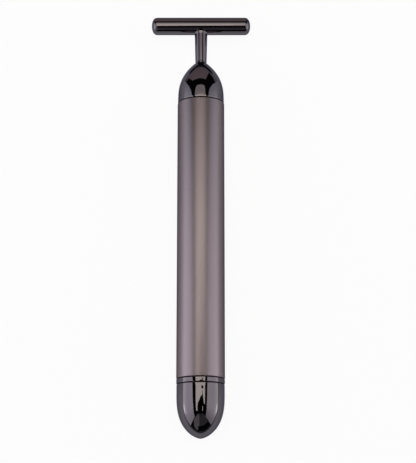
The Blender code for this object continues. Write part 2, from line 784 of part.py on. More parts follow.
make_base_cap()
make_cap_plug()
make_cap_contacts()
make_base_ferrule()
make_cap_seal()
make_handle_tube()
make_battery()
make_battery_spring()
make_positive_contact()
make_contact_carrier()
make_motor_holder()
make_motor_case()
make_motor_brushes()
make_rotor()
make_eccentric_weight()
make_spacer_and_ground_ring()
make_leads()
make_head_dome()
make_stem()
make_stem_fastening()
make_t_bar()

# The wand is laid down last: it rests on one flat of the round handle, with its middle at the origin
wand_axis.rotation_euler = (-pi / 2, 0, 0)
wand_axis.location = (0, -total_length / 2, tube_radius * cos(pi / round_sides))
bpy.context.view_layer.update()
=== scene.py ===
# A vibrating beauty wand: a lacquered tube that holds one AA cell and a small motor, a dome
# and a T bar at its head, and a plated cap that switches it on when it is screwed home.
# The wand lies along Y with its head at +Y and its bar along X, on a pale studio floor.

from math import atan2, cos, pi, radians, sin, sqrt, tan

import bmesh
import bpy
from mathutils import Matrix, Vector


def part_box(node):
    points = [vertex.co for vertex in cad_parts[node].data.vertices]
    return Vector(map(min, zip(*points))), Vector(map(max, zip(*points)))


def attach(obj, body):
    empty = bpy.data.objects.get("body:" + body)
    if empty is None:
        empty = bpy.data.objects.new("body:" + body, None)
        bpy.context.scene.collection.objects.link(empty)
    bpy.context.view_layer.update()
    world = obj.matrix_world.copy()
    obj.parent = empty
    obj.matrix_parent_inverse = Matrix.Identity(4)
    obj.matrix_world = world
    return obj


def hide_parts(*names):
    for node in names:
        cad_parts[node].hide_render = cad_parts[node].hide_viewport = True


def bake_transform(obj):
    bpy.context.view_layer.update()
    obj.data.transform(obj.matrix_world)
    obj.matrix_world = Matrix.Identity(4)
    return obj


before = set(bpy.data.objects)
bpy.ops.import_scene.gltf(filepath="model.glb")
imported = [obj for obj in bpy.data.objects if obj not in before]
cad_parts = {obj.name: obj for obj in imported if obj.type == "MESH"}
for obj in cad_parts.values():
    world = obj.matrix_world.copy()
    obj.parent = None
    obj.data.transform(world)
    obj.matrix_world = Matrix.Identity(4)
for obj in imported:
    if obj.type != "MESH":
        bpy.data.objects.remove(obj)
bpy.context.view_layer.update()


# Handle tube: a drawn aluminium tube in pearl taupe lacquer, bored out at the cap end for the
# sleeve of the base ring. It is the grip, and it lies on the table on its own side.

mm = 0.001
tube_low, tube_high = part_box("handle_tube")
axis_z = (tube_low.z + tube_high.z) / 2
tube_radius = (tube_high.z - tube_low.z) / 2
tube_foot, tube_head = tube_low.y, tube_high.y
tube_bore = 7.5 * mm
tube_counterbore = 7.95 * mm
tube_counterbore_end = tube_foot + 6.4 * mm
crisp_angle = radians(40)
plain_angle = radians(172)


class Wire:
    """A socket in a material's or a shape's node tree. Sums on it add Math nodes."""

    def __init__(self, tree, socket=None):
        self.tree = tree
        self.socket = socket

    def node(self, kind, settings=None, values=None, output=0):
        """Add a node: first its settings, then the values or links of its sockets."""
        made = self.tree.nodes.new(kind)
        for name, value in (settings or {}).items():
            setattr(made, name, value)
        for key, value in (values or {}).items():
            if isinstance(value, (Wire, list)):
                for link in value if isinstance(value, list) else [value]:
                    self.tree.links.new(link.socket, made.inputs[key])
            else:
                made.inputs[key].default_value = value
        return Wire(self.tree, made.outputs[output])

    def other(self, output):
        """Another output of the same node."""
        return Wire(self.tree, self.socket.node.outputs[output])

    def sum(self, operation, *values):
        """A Math node on the given values, or on this socket alone."""
        return self.node("ShaderNodeMath", {"operation": operation}, dict(enumerate(values or [self])))

    def __add__(self, other):
        return self.sum("ADD", self, other)

    def __sub__(self, other):
        return self.sum("SUBTRACT", self, other)

    def __rsub__(self, other):
        return self.sum("SUBTRACT", other, self)

    def __mul__(self, other):
        return self.sum("MULTIPLY", self, other)

    __radd__ = __add__
    __rmul__ = __mul__


def new_finish(name):
    """An empty material with its shader, and the wire that its nodes are made from."""
    material = bpy.data.materials.new(name)
    material.use_nodes = True
    return material, material.node_tree.nodes["Principled BSDF"], Wire(material.node_tree)


def connect(shader, **sockets):
    """Set or link the shader's sockets; an underscore stands for the space in a name."""
    for name, value in sockets.items():
        socket = shader.inputs[name.replace("_", " ")]
        if isinstance(value, Wire):
            value.tree.links.new(value.socket, socket)
        else:
            socket.default_value = value


def rgb(*colour):
    return (*colour, 1)


def mixed(share, first, second):
    """Two colours mixed by a share."""
    return share.node("ShaderNodeMix", {"data_type": "RGBA"}, {0: share, 6: first, 7: second}, 2)


def grain(wire, size, detail=2, stretch=(1, 1, 1)):
    """Noise on the piece's own coordinates, of about the given size in metres, from 0 to 1."""
    place = wire.node("ShaderNodeTexCoord", output=3)
    stretched = wire.node("ShaderNodeMapping", {}, {0: place, 3: stretch})
    values = {"Vector": stretched, "Scale": 1 / size, "Detail": detail}
    return wire.node("ShaderNodeTexNoise", {}, values)


def relief(wire, height, distance):
    """A bump of the given height map, whose full range is so many metres deep."""
    return wire.node("ShaderNodeBump", {}, {"Height": height, "Distance": distance, "Strength": 1})


def bend(before, corner, after, reach, steps=4):
    """The places of a curve that cuts a corner, from a reach before it to a reach after it."""
    start = corner + (before - corner).normalized() * reach
    end = corner + (after - corner).normalized() * reach
    shares = [step / steps for step in range(steps + 1)]
    return [start * (1 - t) ** 2 + corner * 2 * t * (1 - t) + end * t ** 2 for t in shares]


def eased(outline, radius, steps=4):
    """A closed outline with its corners rounded, each to its own third value or to the radius."""
    points = []
    for i, (x, y, *own) in enumerate(outline):
        here = Vector((x, y))
        before, after = Vector(outline[i - 1][:2]), Vector(outline[(i + 1) % len(outline)][:2])
        back, ahead = before - here, after - here
        wanted = own[0] if own else radius
        opening = back.angle(ahead, pi)
        if wanted == 0 or opening > plain_angle or x == 0:
            points.append(here)
            continue
        reach = min(wanted / tan(opening / 2), back.length * 0.45, ahead.length * 0.45)
        points += bend(before, here, after, reach, steps)
    return points


def turned(name, outline, sides=96, centre=(0, 0), crossways=False):
    """Turn an outline of (radius, distance along) round the wand's axis, or round the bar's."""
    body = bmesh.new()
    rings = []
    for radius, along in outline:
        ring = []
        for side in range(1 if radius == 0 else sides):
            turn = 2 * pi * side / sides
            u, v = radius * cos(turn), radius * sin(turn)
            place = (along, centre[0] + u, centre[1] + v) if crossways else (u, along, axis_z + v)
            ring.append(body.verts.new(place))
        rings.append(ring)
    pairs = list(zip(rings, rings[1:]))
    if len(rings[0]) > 1 or len(rings[-1]) > 1:
        pairs.append((rings[-1], rings[0]))
    for near, far in pairs:
        for side in range(sides):
            after = (side + 1) % sides
            corners = [near[side % len(near)], near[after % len(near)],
                       far[after % len(far)], far[side % len(far)]]
            corners = list(dict.fromkeys(corners))
            if len(corners) > 2:
                body.faces.new(corners)
    return solid(name, body)


def smoothed(mesh):
    """Shade a mesh smooth, with its real edges kept crisp."""
    mesh.shade_smooth()
    mesh.set_sharp_from_angle(angle=crisp_angle)


def solid(name, body):
    """Finish a mesh, with its faces outwards, and put it in the scene as a piece."""
    bmesh.ops.recalc_face_normals(body, faces=body.faces)
    mesh = bpy.data.meshes.new(name)
    body.to_mesh(mesh)
    body.free()
    smoothed(mesh)
    piece = bpy.data.objects.new(name, mesh)
    bpy.context.scene.collection.objects.link(piece)
    return piece


def dress(piece, material, body, slot, *nodes):
    """Give a piece its material and body, and hide the nodes it stands for. Its slot is not used."""
    piece.data.materials.clear()
    piece.data.materials.append(material)
    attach(piece, body)
    if nodes:
        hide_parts(*nodes)
    return piece


def lathed(name, outline, ease, sides, *dressing):
    """Turn a piece from its outline, with its corners eased, and dress it."""
    return dress(turned(name, eased(outline, ease), sides), *dressing)


pearl, shader, wire = new_finish("pearl_lacquer")
flake = grain(wire, 0.16 * mm, 1)
cloud = grain(wire, 9 * mm, 2, (1, 0.35, 1))
tone = mixed(flake * 0.6 + cloud * 0.4, rgb(0.159, 0.135, 0.139), rgb(0.225, 0.193, 0.199))
connect(shader, Base_Color=tone, Metallic=1, Roughness=0.33 + flake * 0.07,
        Specular_Tint=rgb(0.30, 0.28, 0.30), Normal=relief(wire, flake, 0.0012 * mm))

lathed("handle_tube_lacquered", [
    (tube_counterbore, tube_foot), (tube_radius, tube_foot, 0.22 * mm),
    (tube_radius, tube_head, 0.22 * mm), (tube_bore, tube_head), (tube_bore, tube_counterbore_end),
    (tube_counterbore, tube_counterbore_end)],
    0.1 * mm, 128, pearl, "handle", "tube_finish", "handle_tube")


# Head dome: a turned brass cap, black nickel plated, that plugs into the top of the tube with
# a short sleeve. Its crown narrows to a small flat land, where the stem is clamped.


def span(node):
    """Where a node starts and where it ends along the wand."""
    low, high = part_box(node)
    return low.y, high.y


def radius_of(node):
    low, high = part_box(node)
    return (high.z - low.z) / 2


dome_low, dome_top = span("head_dome")
dome_radius = radius_of("head_dome")
dome_skirt = tube_head + 0.3 * mm
dome_sleeve, dome_sleeve_bore = 7.3 * mm, 6.3 * mm
dome_collar = dome_skirt + 0.7 * mm
dome_land, dome_swell = 2.35 * mm, 2.74
dome_wall, dome_ceiling, dome_ceiling_land = 1.3 * mm, dome_top - 3.1 * mm, 3.3 * mm
stem_seat, stem_seat_floor, screw_hole = 2.15 * mm, dome_top - 0.6 * mm, 1.45 * mm


def crown(radius, land, high, steps):
    """The side of the dome from its full radius at the collar to its land at the given height."""
    cut = (1 - land / radius) ** (1 / dome_swell)
    rises = [cut * sin(pi / 2 * step / steps) for step in range(steps + 1)]
    return [(radius * (1 - rise ** dome_swell), dome_collar + (high - dome_collar) * rise / cut, 0)
            for rise in rises]


nickel, shader, wire = new_finish("black_nickel")
ripple = grain(wire, 2.6 * mm, 1)
haze = grain(wire, 5 * mm, 3)
connect(shader, Base_Color=mixed(haze, rgb(0.100, 0.093, 0.099), rgb(0.114, 0.104, 0.110)),
        Metallic=1, Roughness=0.035 + haze * 0.03, Specular_Tint=rgb(0.42, 0.42, 0.46),
        Normal=relief(wire, ripple, 0.004 * mm))

outer = crown(dome_radius, dome_land, dome_top, 40)
inner = crown(dome_radius - dome_wall, dome_ceiling_land, dome_ceiling, 24)
skirt = [(dome_sleeve_bore, dome_skirt), (dome_sleeve_bore, dome_low), (dome_sleeve, dome_low),
         (dome_sleeve, dome_skirt, 0.05 * mm), (dome_radius, dome_skirt, 0.18 * mm)]
hole = [(stem_seat, dome_top), (stem_seat, stem_seat_floor), (screw_hole, stem_seat_floor),
        (screw_hole, dome_ceiling)]
lathed("head_dome_plated", skirt + outer + hole + inner[::-1], 0.12 * mm, 128,
       nickel, "handle", "black_nickel", "head_dome")


# T bar: a solid turned roller blank with swelled ends, black nickel plated. It doesn't roll:
# the stem is pressed into its middle and the joint is plated over.

bar_low, bar_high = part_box("t_bar")
bar_half = bar_high.x
bar_radius = (bar_high.y - bar_low.y) / 2
bar_y = (bar_low.y + bar_high.y) / 2
bar_end, bar_swell, bar_steps = 2.2 * mm, 2.3, 28

side = []
for step in range(bar_steps):
    turn = pi / 2 * step / bar_steps
    side.append((bar_radius * cos(turn) ** (2 / bar_swell),
                 bar_half - bar_end + bar_end * sin(turn) ** (2 / bar_swell)))
side.append((0, bar_half))
outline = [(radius, -along) for radius, along in reversed(side)] + side
bar = turned("t_bar_plated", outline, 128, (bar_y, axis_z), True)
dress(bar, nickel, "handle", "black_nickel", "t_bar")


# Stem: a turned steel pin, black nickel plated, that flares a little towards the bar. A fine
# fillet runs round its foot on the dome and round the saddle where it enters the bar.

stem_foot, stem_neck = 2.085 * mm, 2.34 * mm
foot_fillet, saddle_fillet = 0.22 * mm, 0.42 * mm
stem_bottom = span("stem")[0]
stem_hole, drill_point = 1.35 * mm, 0.3 * mm
stem_hole_end, drill_end = stem_bottom + 8 * mm, stem_bottom + 8.6 * mm
stem_sides, foot_steps, flare_steps, saddle_steps = 96, 5, 12, 6


def skinned(name, sections):
    """A solid through closed sections with as many corners each, flat at both ends."""
    body = bmesh.new()
    rings = [[body.verts.new(place) for place in section] for section in sections]
    for near, far in zip(rings, rings[1:]):
        for i in range(len(near)):
            body.faces.new((near[i - 1], near[i], far[i], far[i - 1]))
    body.faces.new(rings[0])
    body.faces.new(rings[-1])
    return solid(name, body)


def level(height):
    return [height] * stem_sides


turns = [2 * pi * side / stem_sides for side in range(stem_sides)]
saddle = [bar_y - sqrt(bar_radius ** 2 - (stem_neck * sin(turn)) ** 2) for turn in turns]
flare_top = [height - saddle_fillet for height in saddle]
flare_low = dome_top + foot_fillet
rings = [(drill_point, level(drill_end)), (stem_hole, level(stem_hole_end)),
         (stem_hole, level(stem_bottom)), (stem_foot, level(stem_bottom)),
         (stem_foot, level(dome_top - 0.02 * mm))]
for step in range(foot_steps + 1):
    turn = pi / 2 * step / foot_steps
    rings.append((stem_foot + foot_fillet * (1 - sin(turn)),
                  level(dome_top + foot_fillet * (1 - cos(turn)))))
for step in range(1, flare_steps + 1):
    share = step / flare_steps
    rings.append((stem_foot + (stem_neck - stem_foot) * share,
                  [flare_low + (top - flare_low) * share for top in flare_top]))
for step in range(1, saddle_steps + 1):
    turn = pi / 2 * step / saddle_steps
    radius = stem_neck + saddle_fillet * (1 - cos(turn))
    heights = []
    for angle, top, seat in zip(turns, flare_top, saddle):
        surface = bar_y - sqrt(max(bar_radius ** 2 - (radius * sin(angle)) ** 2, 0))
        heights.append(top + saddle_fillet * sin(turn) + (surface - seat) * sin(turn) ** 2
                       + 0.01 * mm * step / saddle_steps)
    rings.append((radius, heights))
rings.append((stem_neck * 0.9, level(bar_y)))
stem = skinned("stem_plated", [[(radius * cos(turn), height, axis_z + radius * sin(turn))
                                for turn, height in zip(turns, heights)] for radius, heights in rings])
dress(stem, nickel, "handle", "black_nickel", "stem")


# Stem screw and split washer: a slotted steel screw comes up through the roof of the dome into
# the stem, with a spring washer under its head. The two hold the whole head together.

screw_low, screw_high = span("stem_screw")
washer_low, washer_high = span("lock_washer")
screw_head, screw_seat = 2.19 * mm, screw_low + 1.5 * mm
screw_core, screw_crest = 1.02 * mm, 1.24 * mm
screw_pitch, slit_half, slit_depth = 0.45 * mm, 0.3 * mm, 0.6 * mm


def grained(name, first, second, size, rough, depth, detail=3, stretch=(1, 1, 1), **sockets):
    """A finish on one grain: its two shades, its least and added roughness and its relief."""
    material, shader, wire = new_finish(name)
    marks = grain(wire, size, detail, stretch)
    connect(shader, Base_Color=mixed(marks, rgb(*first), rgb(*second)),
            Roughness=rough[0] + marks * rough[1], Normal=relief(wire, marks, depth), **sockets)
    return material


zinc = grained("bright_zinc", (0.50, 0.51, 0.53), (0.66, 0.65, 0.62), 0.9 * mm, (0.22, 0.16),
               0.006 * mm, stretch=(1, 0.2, 1), Metallic=1)


def applied(piece, modifier):
    """Make what a modifier gives the piece's own mesh."""
    graph = bpy.context.evaluated_depsgraph_get()
    mesh = bpy.data.meshes.new_from_object(piece.evaluated_get(graph))
    piece.modifiers.remove(modifier)
    piece.data = mesh
    smoothed(mesh)
    return piece


def cut(piece, tool):
    """Take the tool's shape out of a piece; the tool itself goes."""
    modifier = piece.modifiers.new("cut", "BOOLEAN")
    modifier.object, modifier.operation, modifier.solver = tool, "DIFFERENCE", "EXACT"
    applied(piece, modifier)
    bpy.data.objects.remove(tool)
    return piece


def drawn_out(name, outline, low, high, ease=0):
    """Draw an outline of (x, height over the axis) out along the wand and ease its two rims."""
    body = bmesh.new()
    near = [body.verts.new((x, low, axis_z + z)) for x, z in outline]
    far = [body.verts.new((x, high, axis_z + z)) for x, z in outline]
    for i in range(len(outline)):
        body.faces.new((near[i - 1], near[i], far[i], far[i - 1]))
    rims = [body.faces.new(near), body.faces.new(far)]
    if ease:
        edges = list({edge for rim in rims for edge in rim.edges})
        bmesh.ops.bevel(body, geom=edges, offset=ease, segments=2, affect="EDGES", profile=0.5)
    return solid(name, body)


def oblong(near, far, low, high):
    return [(near, low), (far, low), (far, high), (near, high)]


outline = eased([
    (0, screw_low), (screw_head, screw_low, 0.35 * mm), (screw_head, screw_seat),
    (screw_core, screw_seat), (screw_core, screw_high - 0.3 * mm), (screw_core - 0.25 * mm, screw_high),
    (0, screw_high)], 0.08 * mm)
slit = drawn_out("screw_slit", oblong(-3 * mm, 3 * mm, -slit_half, slit_half),
                 screw_low - mm, screw_low + slit_depth)
screw = cut(turned("stem_screw_slotted", outline, 64), slit)
dress(screw, zinc, "handle", "spring_steel", "stem_screw")


def grown(name, material, sizes, build, base=None):
    """Run a shape's node tree, with its sizes as named inputs, and keep the mesh it makes."""
    tree = bpy.data.node_groups.new(name, "GeometryNodeTree")
    tree.interface.new_socket("Shape", in_out="OUTPUT", socket_type="NodeSocketGeometry")
    tree.interface.new_socket("Base", in_out="INPUT", socket_type="NodeSocketGeometry")
    for label, value in sizes.items():
        kind = "NodeSocketInt" if isinstance(value, int) else "NodeSocketFloat"
        tree.interface.new_socket(label, in_out="INPUT", socket_type=kind)
    start = Wire(tree).node("NodeGroupInput")
    shape = build(start, {label: start.other(label) for label in ["Base", *sizes]})
    real = shape.node("GeometryNodeRealizeInstances", {}, {"Geometry": shape})
    painted = real.node("GeometryNodeSetMaterial", {}, {"Geometry": real, "Material": material})
    end = tree.nodes.new("NodeGroupOutput")
    tree.links.new(painted.socket, end.inputs["Shape"])
    piece = base or bpy.data.objects.new(name, bpy.data.meshes.new(name))
    if not base:
        bpy.context.scene.collection.objects.link(piece)
    modifier = piece.modifiers.new(name, "NODES")
    modifier.node_group = tree
    for item in tree.interface.items_tree:
        if item.in_out == "INPUT" and item.name in sizes:
            modifier[item.identifier] = sizes[item.name]
    return applied(piece, modifier)


def place_of(wire, **along):
    return wire.node("ShaderNodeCombineXYZ", {}, along)


def laid(wire, shape, size, rotation=(-pi / 2, 0, 0)):
    """Lay a shape along the wand's axis, from its start on."""
    place = place_of(wire, Y=size["Start"], Z=size["Axis height"])
    return wire.node("GeometryNodeTransform", {}, {
        "Geometry": shape, "Translation": place, "Rotation": rotation})


def swept(wire, route, profile):
    return wire.node("GeometryNodeCurveToMesh", {}, {
        "Curve": route, "Profile Curve": profile, "Fill Caps": True})


def thread_ridge(wire, size):
    """A helical ridge on a cylinder of the given radius, thin at both ends."""
    route = wire.node("GeometryNodeCurveSpiral", {}, {
        "Resolution": 72, "Rotations": size["Turns"], "Start Radius": size["Radius"],
        "End Radius": size["Radius"], "Height": size["Turns"] * size["Lead"]})
    upright = wire.node("GeometryNodeSetCurveNormal", {"mode": "Z_UP"}, {"Curve": route})
    along = wire.node("GeometryNodeSplineParameter")
    ends = along.sum("MINIMUM", along, 1 - along) * size["Turns"] * 5
    fade = ends.sum("MINIMUM", ends + 0.05, 1)
    tapered = wire.node("GeometryNodeSetCurveRadius", {}, {"Curve": upright, "Radius": fade})
    corners = {}
    for number, (end, half) in enumerate((("Root", -0.5), ("Crest", -0.5), ("Crest", 0.5), ("Root", 0.5))):
        corners[f"Point {number + 1}"] = place_of(wire, X=size[end], Y=size[f"{end} width"] * half)
    profile = wire.node("GeometryNodeCurvePrimitiveQuadrilateral", {"mode": "POINTS"}, corners)
    return laid(wire, swept(wire, tapered, profile), size)


screw_thread = {"Turns": 22.5, "Lead": screw_pitch, "Root width": 0.4 * mm, "Crest width": 0.06 * mm,
                "Axis height": axis_z, "Radius": screw_core, "Root": -0.04 * mm,
                "Crest": screw_crest - screw_core, "Start": screw_seat + 0.9 * mm}
dress(grown("stem_screw_thread", zinc, screw_thread, thread_ridge), zinc, "handle", "spring_steel")

blued = grained("blued_spring_steel", (0.26, 0.27, 0.30), (0.40, 0.39, 0.38), 0.5 * mm, (0.26, 0.2),
                0.008 * mm, Metallic=1)
washer_inner, washer_outer = 1.36 * mm, radius_of("lock_washer")
washer_rise, washer_steps, split_half = 0.05 * mm, 60, radians(8)
sections = []
for step in range(washer_steps + 1):
    turn = split_half + (2 * pi - 2 * split_half) * step / washer_steps
    lift = washer_rise * (1 - 2 * step / washer_steps)
    corners = oblong(washer_inner, washer_outer, washer_low + washer_rise + lift,
                     washer_high - washer_rise + lift)
    sections.append([(radius * cos(turn), along, axis_z + radius * sin(turn))
                     for radius, along in eased(corners, 0.06 * mm, 2)])
dress(skinned("split_washer", sections), blued, "handle", "spring_steel", "lock_washer")


# Motor holder: a moulded collar, a push fit in the tube, that grips the motor by its case. Its
# neck reaches into the dome's sleeve, and its flutes let the air out as it is pressed in.

holder_low, holder_high = span("motor_holder")
moulded_radius = 7.3 * mm
holder_window, holder_bore, holder_neck = 3.7 * mm, 5.1 * mm, 6.0 * mm
holder_seat = holder_low + 2.6 * mm
holder_shoulder = dome_low - 0.3 * mm
flute_share = 0.25

moulding, shader, wire = new_finish("black_moulding")
spark = grain(wire, 0.12 * mm, 2)
flow = grain(wire, 6 * mm, 2, (1, 0.4, 1))
connect(shader, Base_Color=mixed(flow, rgb(0.013, 0.013, 0.014), rgb(0.027, 0.026, 0.026)),
        Roughness=0.42 + spark * 0.16, Normal=relief(wire, spark, 0.008 * mm))


def fluted(piece, least, count, depth, share, low=-1, high=1):
    """Press flutes into what lies further out than a radius, between two places along the wand."""
    for vertex in piece.data.vertices:
        x, z = vertex.co.x, vertex.co.z - axis_z
        radius = sqrt(x ** 2 + z ** 2)
        if radius > least and low < vertex.co.y < high and atan2(z, x) * count / (2 * pi) % 1 < share:
            vertex.co.x -= x / radius * depth
            vertex.co.z -= z / radius * depth
    smoothed(piece.data)
    return piece


outline = eased([
    (holder_window, holder_low), (moulded_radius, holder_low, 0.4 * mm),
    (moulded_radius, holder_shoulder, 0.25 * mm), (holder_neck, holder_shoulder),
    (holder_neck, holder_high, 0.3 * mm), (holder_bore, holder_high, 0.25 * mm),
    (holder_bore, holder_seat), (holder_window, holder_seat)], 0.12 * mm)
holder = fluted(turned("motor_holder_moulded", outline), 6.5 * mm, 6, 0.45 * mm, flute_share)
dress(holder, moulding, "handle", "black_moulding", "motor_holder")


# Motor case: a drawn steel can with a sintered bush in its nose and a ring magnet inside. Its
# rear rim is crimped at three places over a nylon end cap.

case_low, case_high = span("motor_can")
bush_low, bush_high = span("motor_bush")
magnet_low, magnet_high = span("motor_magnet")
end_low, end_high = span("motor_end_cap")
case_radius, case_bore, case_nose, case_wall = 5.0 * mm, 4.5 * mm, 1.6 * mm, 0.5 * mm
case_rim, crimp_end = case_low + 0.7 * mm, case_low + 0.3 * mm
bush_radius = 1.48 * mm
magnet_bore, magnet_radius = 3.55 * mm, 4.4 * mm
shaft_radius, shaft_hole = 0.75 * mm, 0.8 * mm
brush_offset, brush_slit, slit_reach = 2.5 * mm, 0.25 * mm, 0.8 * mm

drawn_steel, shader, wire = new_finish("drawn_steel")
draw_marks = grain(wire, 0.3 * mm, 3, (1, 0.05, 1))
stain = grain(wire, 4 * mm, 3)
connect(shader, Base_Color=mixed(stain, rgb(0.42, 0.42, 0.44), rgb(0.60, 0.59, 0.58)), Metallic=1,
        Roughness=0.2 + draw_marks * 0.2, Normal=relief(wire, draw_marks, 0.006 * mm))
outline = eased([
    (case_bore, case_low, 0.03 * mm), (case_radius, case_low, 0.08 * mm), (case_radius, case_rim, 0),
    (case_radius, case_high, 0.55 * mm), (case_nose, case_high), (case_nose, case_high - case_wall),
    (case_bore, case_high - case_wall, 0.25 * mm), (case_bore, case_rim, 0)], 0.06 * mm)
case = turned("motor_case_drawn", outline)
crimped = fluted(case, 4.8 * mm, 3, 0.12 * mm, 0.1, case_low - mm, crimp_end)
dress(crimped, drawn_steel, "handle", "motor_steel", "motor_can")

bronze = grained("sintered_bronze", (0.30, 0.19, 0.085), (0.60, 0.42, 0.21), 0.08 * mm, (0.36, 0.25),
                 0.012 * mm, Metallic=1)
lathed("motor_bush_sintered", oblong(shaft_hole, bush_radius, bush_low, bush_high),
       0.18 * mm, 48, bronze, "handle", "bush_bronze", "motor_bush")

ferrite = grained("ferrite", (0.030, 0.030, 0.032), (0.075, 0.073, 0.072), 0.15 * mm, (0.5, 0.25),
                  0.015 * mm, 4)
lathed("motor_magnet_ring", oblong(magnet_bore, magnet_radius, magnet_low, magnet_high),
       0.1 * mm, 96, ferrite, "handle", "magnet_ferrite", "motor_magnet")

nylon = grained("natural_nylon", (0.70, 0.68, 0.60), (0.83, 0.81, 0.75), 1.6 * mm, (0.38, 0.15),
                0.01 * mm)
outline = eased([
    (shaft_hole, end_low), (case_radius, end_low, 0.25 * mm), (case_radius, end_low + mm),
    (magnet_radius, end_low + mm), (magnet_radius, end_high, 0.2 * mm),
    (shaft_hole, end_high)], 0.08 * mm)
end_cap = turned("motor_end_cap_moulded", outline)
for centre in (brush_offset, -brush_offset):
    slit = oblong(centre - brush_slit, centre + brush_slit, -slit_reach, slit_reach)
    cut(end_cap, drawn_out("brush_slit", slit, end_low - mm, end_high + mm))
dress(end_cap, nylon, "handle", "motor_plastic", "motor_end_cap")


# Brushes: two springy strips of copper alloy, pushed through the slits of the end cap. Each is
# bent to lean on the commutator, and its tail takes a lead.

brush_low, brush_high = span("motor_brush_positive")
brush_knee = end_high + 0.4 * mm
brush_touch, brush_tip = 1.55 * mm, 1.62 * mm
brush_half, brush_leaf = 0.68 * mm, 0.28 * mm
strip_section = [(-1, -0.9), (-1, 0.9), (-0.8, 1), (0.8, 1), (1, 0.9), (1, -0.9), (0.8, -1), (-0.8, -1)]

copper = grained("copper_alloy", (0.46, 0.22, 0.11), (0.76, 0.43, 0.26), 1.2 * mm, (0.2, 0.22),
                 0.004 * mm, 4, Metallic=1)


def strip(name, route, thickness, half):
    """A flat strip that follows a route of (x, distance along), rounded off at its corners."""
    sections = []
    for i, here in enumerate(route):
        ahead = (route[min(i + 1, len(route) - 1)] - route[max(i - 1, 0)]).normalized()
        side = Vector((ahead.y, -ahead.x)) * thickness / 2
        sections.append([(here.x + side.x * u, here.y + side.y * u, axis_z + half * v)
                         for u, v in strip_section])
    return skinned(name, sections)


for name, node, side in (("brush_leaf_plus", "motor_brush_positive", 1),
                         ("brush_leaf_minus", "motor_brush_negative", -1)):
    tail, knee, touch, tip = [Vector((side * x, y)) for x, y in (
        (brush_offset, brush_low), (brush_offset, brush_knee),
        (brush_touch, brush_high - 0.15 * mm), (brush_tip, brush_high))]
    route = [tail, *bend(tail, knee, touch, 0.5 * mm), *bend(knee, touch, tip, 0.06 * mm), tip]
    dress(strip(name, route, brush_leaf, brush_half), copper, "handle", "motor_copper", node)


# Rotor: a ground steel shaft with three laminated poles, their coils of enamelled wire and a
# commutator of three bars. The off-centre weight on its nose is what makes the wand buzz.

shaft_low, shaft_high = span("motor_shaft")
core_low, core_high = span("motor_armature")
bars_low, bars_high = span("motor_commutator")
weight_low, weight_high = span("eccentric_weight")
core_radius, core_hub, core_neck, core_shoe = 3.22 * mm, 1.15 * mm, 0.42 * mm, 2.75 * mm
core_lip = core_shoe + 0.1 * mm
sheet_pitch, sheet_thickness = 0.5 * mm, 0.46 * mm
coil_wire, coil_inner = 0.11 * mm, 1.45 * mm
bar_outer, bar_inner, hub_radius = 1.25 * mm, 0.98 * mm, 0.97 * mm
hub_end = bars_high + 0.2 * mm
pole_half, pole_gap, bar_gap = pi / 3, 0.17, 0.09
weight_radius, weight_hub, weight_flank = 4.6 * mm, 1.8 * mm, 0.8 * mm

lathed("motor_shaft_ground", oblong(0, shaft_radius, shaft_low, shaft_high),
       0.15 * mm, 48, zinc, "rotor", "motor_steel", "motor_shaft")


def polar(radius, turn):
    return radius * cos(turn), radius * sin(turn)


def arc(radius, start, sweep, steps):
    return [polar(radius, start + sweep * step / steps) for step in range(steps + 1)]


outline = []
pole_middles = [pole_half + 2 * pi * pole / 3 for pole in range(3)]
for middle in pole_middles:
    edge = pole_half - pole_gap
    foot, shoe = core_neck / core_hub, core_neck / core_shoe
    outline += [polar(core_hub, middle - foot), polar(core_shoe, middle - shoe),
                polar(core_lip, middle - edge), *arc(core_radius, middle - edge, 2 * edge, 16),
                polar(core_lip, middle + edge), polar(core_shoe, middle + shoe),
                polar(core_hub, middle + foot)]
sheet = drawn_out("armature_sheet", outline, core_low, core_low + sheet_thickness)


def stacked(wire, size):
    """One punched sheet repeated along the shaft."""
    pitch = place_of(wire, Y=size["Pitch"])
    line = wire.node("GeometryNodeMeshLine", {}, {"Count": size["Count"], "Offset": pitch})
    return wire.node("GeometryNodeInstanceOnPoints", {}, {"Points": line, "Instance": size["Base"]})


count = round((core_high - core_low) / sheet_pitch)
core = grown("armature_core", drawn_steel, {"Count": count, "Pitch": sheet_pitch}, stacked, sheet)
dress(core, drawn_steel, "rotor", "motor_copper", "motor_armature")

enamel = grained("enamelled_wire", (0.36, 0.10, 0.035), (0.58, 0.21, 0.08), 0.8 * mm, (0.2, 0.12),
                 0.004 * mm, 2, Metallic=1, Coat_Weight=0.6, Coat_Roughness=0.1)


def round_wire(wire, radius, sides):
    return wire.node("GeometryNodeCurvePrimitiveCircle", {}, {"Resolution": sides, "Radius": radius})


def coils(wire, size):
    """Layers of loops round the neck of each of the three poles."""
    layers = []
    for layer in range(3):
        spread = size["Wire"] * (2 * layer + 1)
        loop = wire.node("GeometryNodeCurvePrimitiveQuadrilateral", {}, {
            "Width": size["Neck"] * 2 + spread, "Height": size["Length"] + spread})
        rounded = wire.node("GeometryNodeFilletCurve", {}, {
            "Curve": loop, "Radius": size["Neck"], "Limit Radius": True})
        pitch = place_of(wire, Z=size["Wire"] * 1.02)
        first = place_of(wire, Z=size["Inner"] + size["Wire"] * 0.5 * layer)
        line = wire.node("GeometryNodeMeshLine", {}, {
            "Count": size["Turns"] - layer, "Start Location": first, "Offset": pitch})
        layers.append(wire.node("GeometryNodeInstanceOnPoints", {}, {
            "Points": line, "Instance": rounded}))
    loops = wire.node("GeometryNodeJoinGeometry", {}, {0: layers})
    real = wire.node("GeometryNodeRealizeInstances", {}, {"Geometry": loops})
    wound = swept(wire, real, round_wire(wire, size["Wire"] * 0.5, 6))
    poles = [laid(wire, wound, size, (0, pi / 2 - middle, 0)) for middle in pole_middles]
    return wire.node("GeometryNodeJoinGeometry", {}, {0: poles})


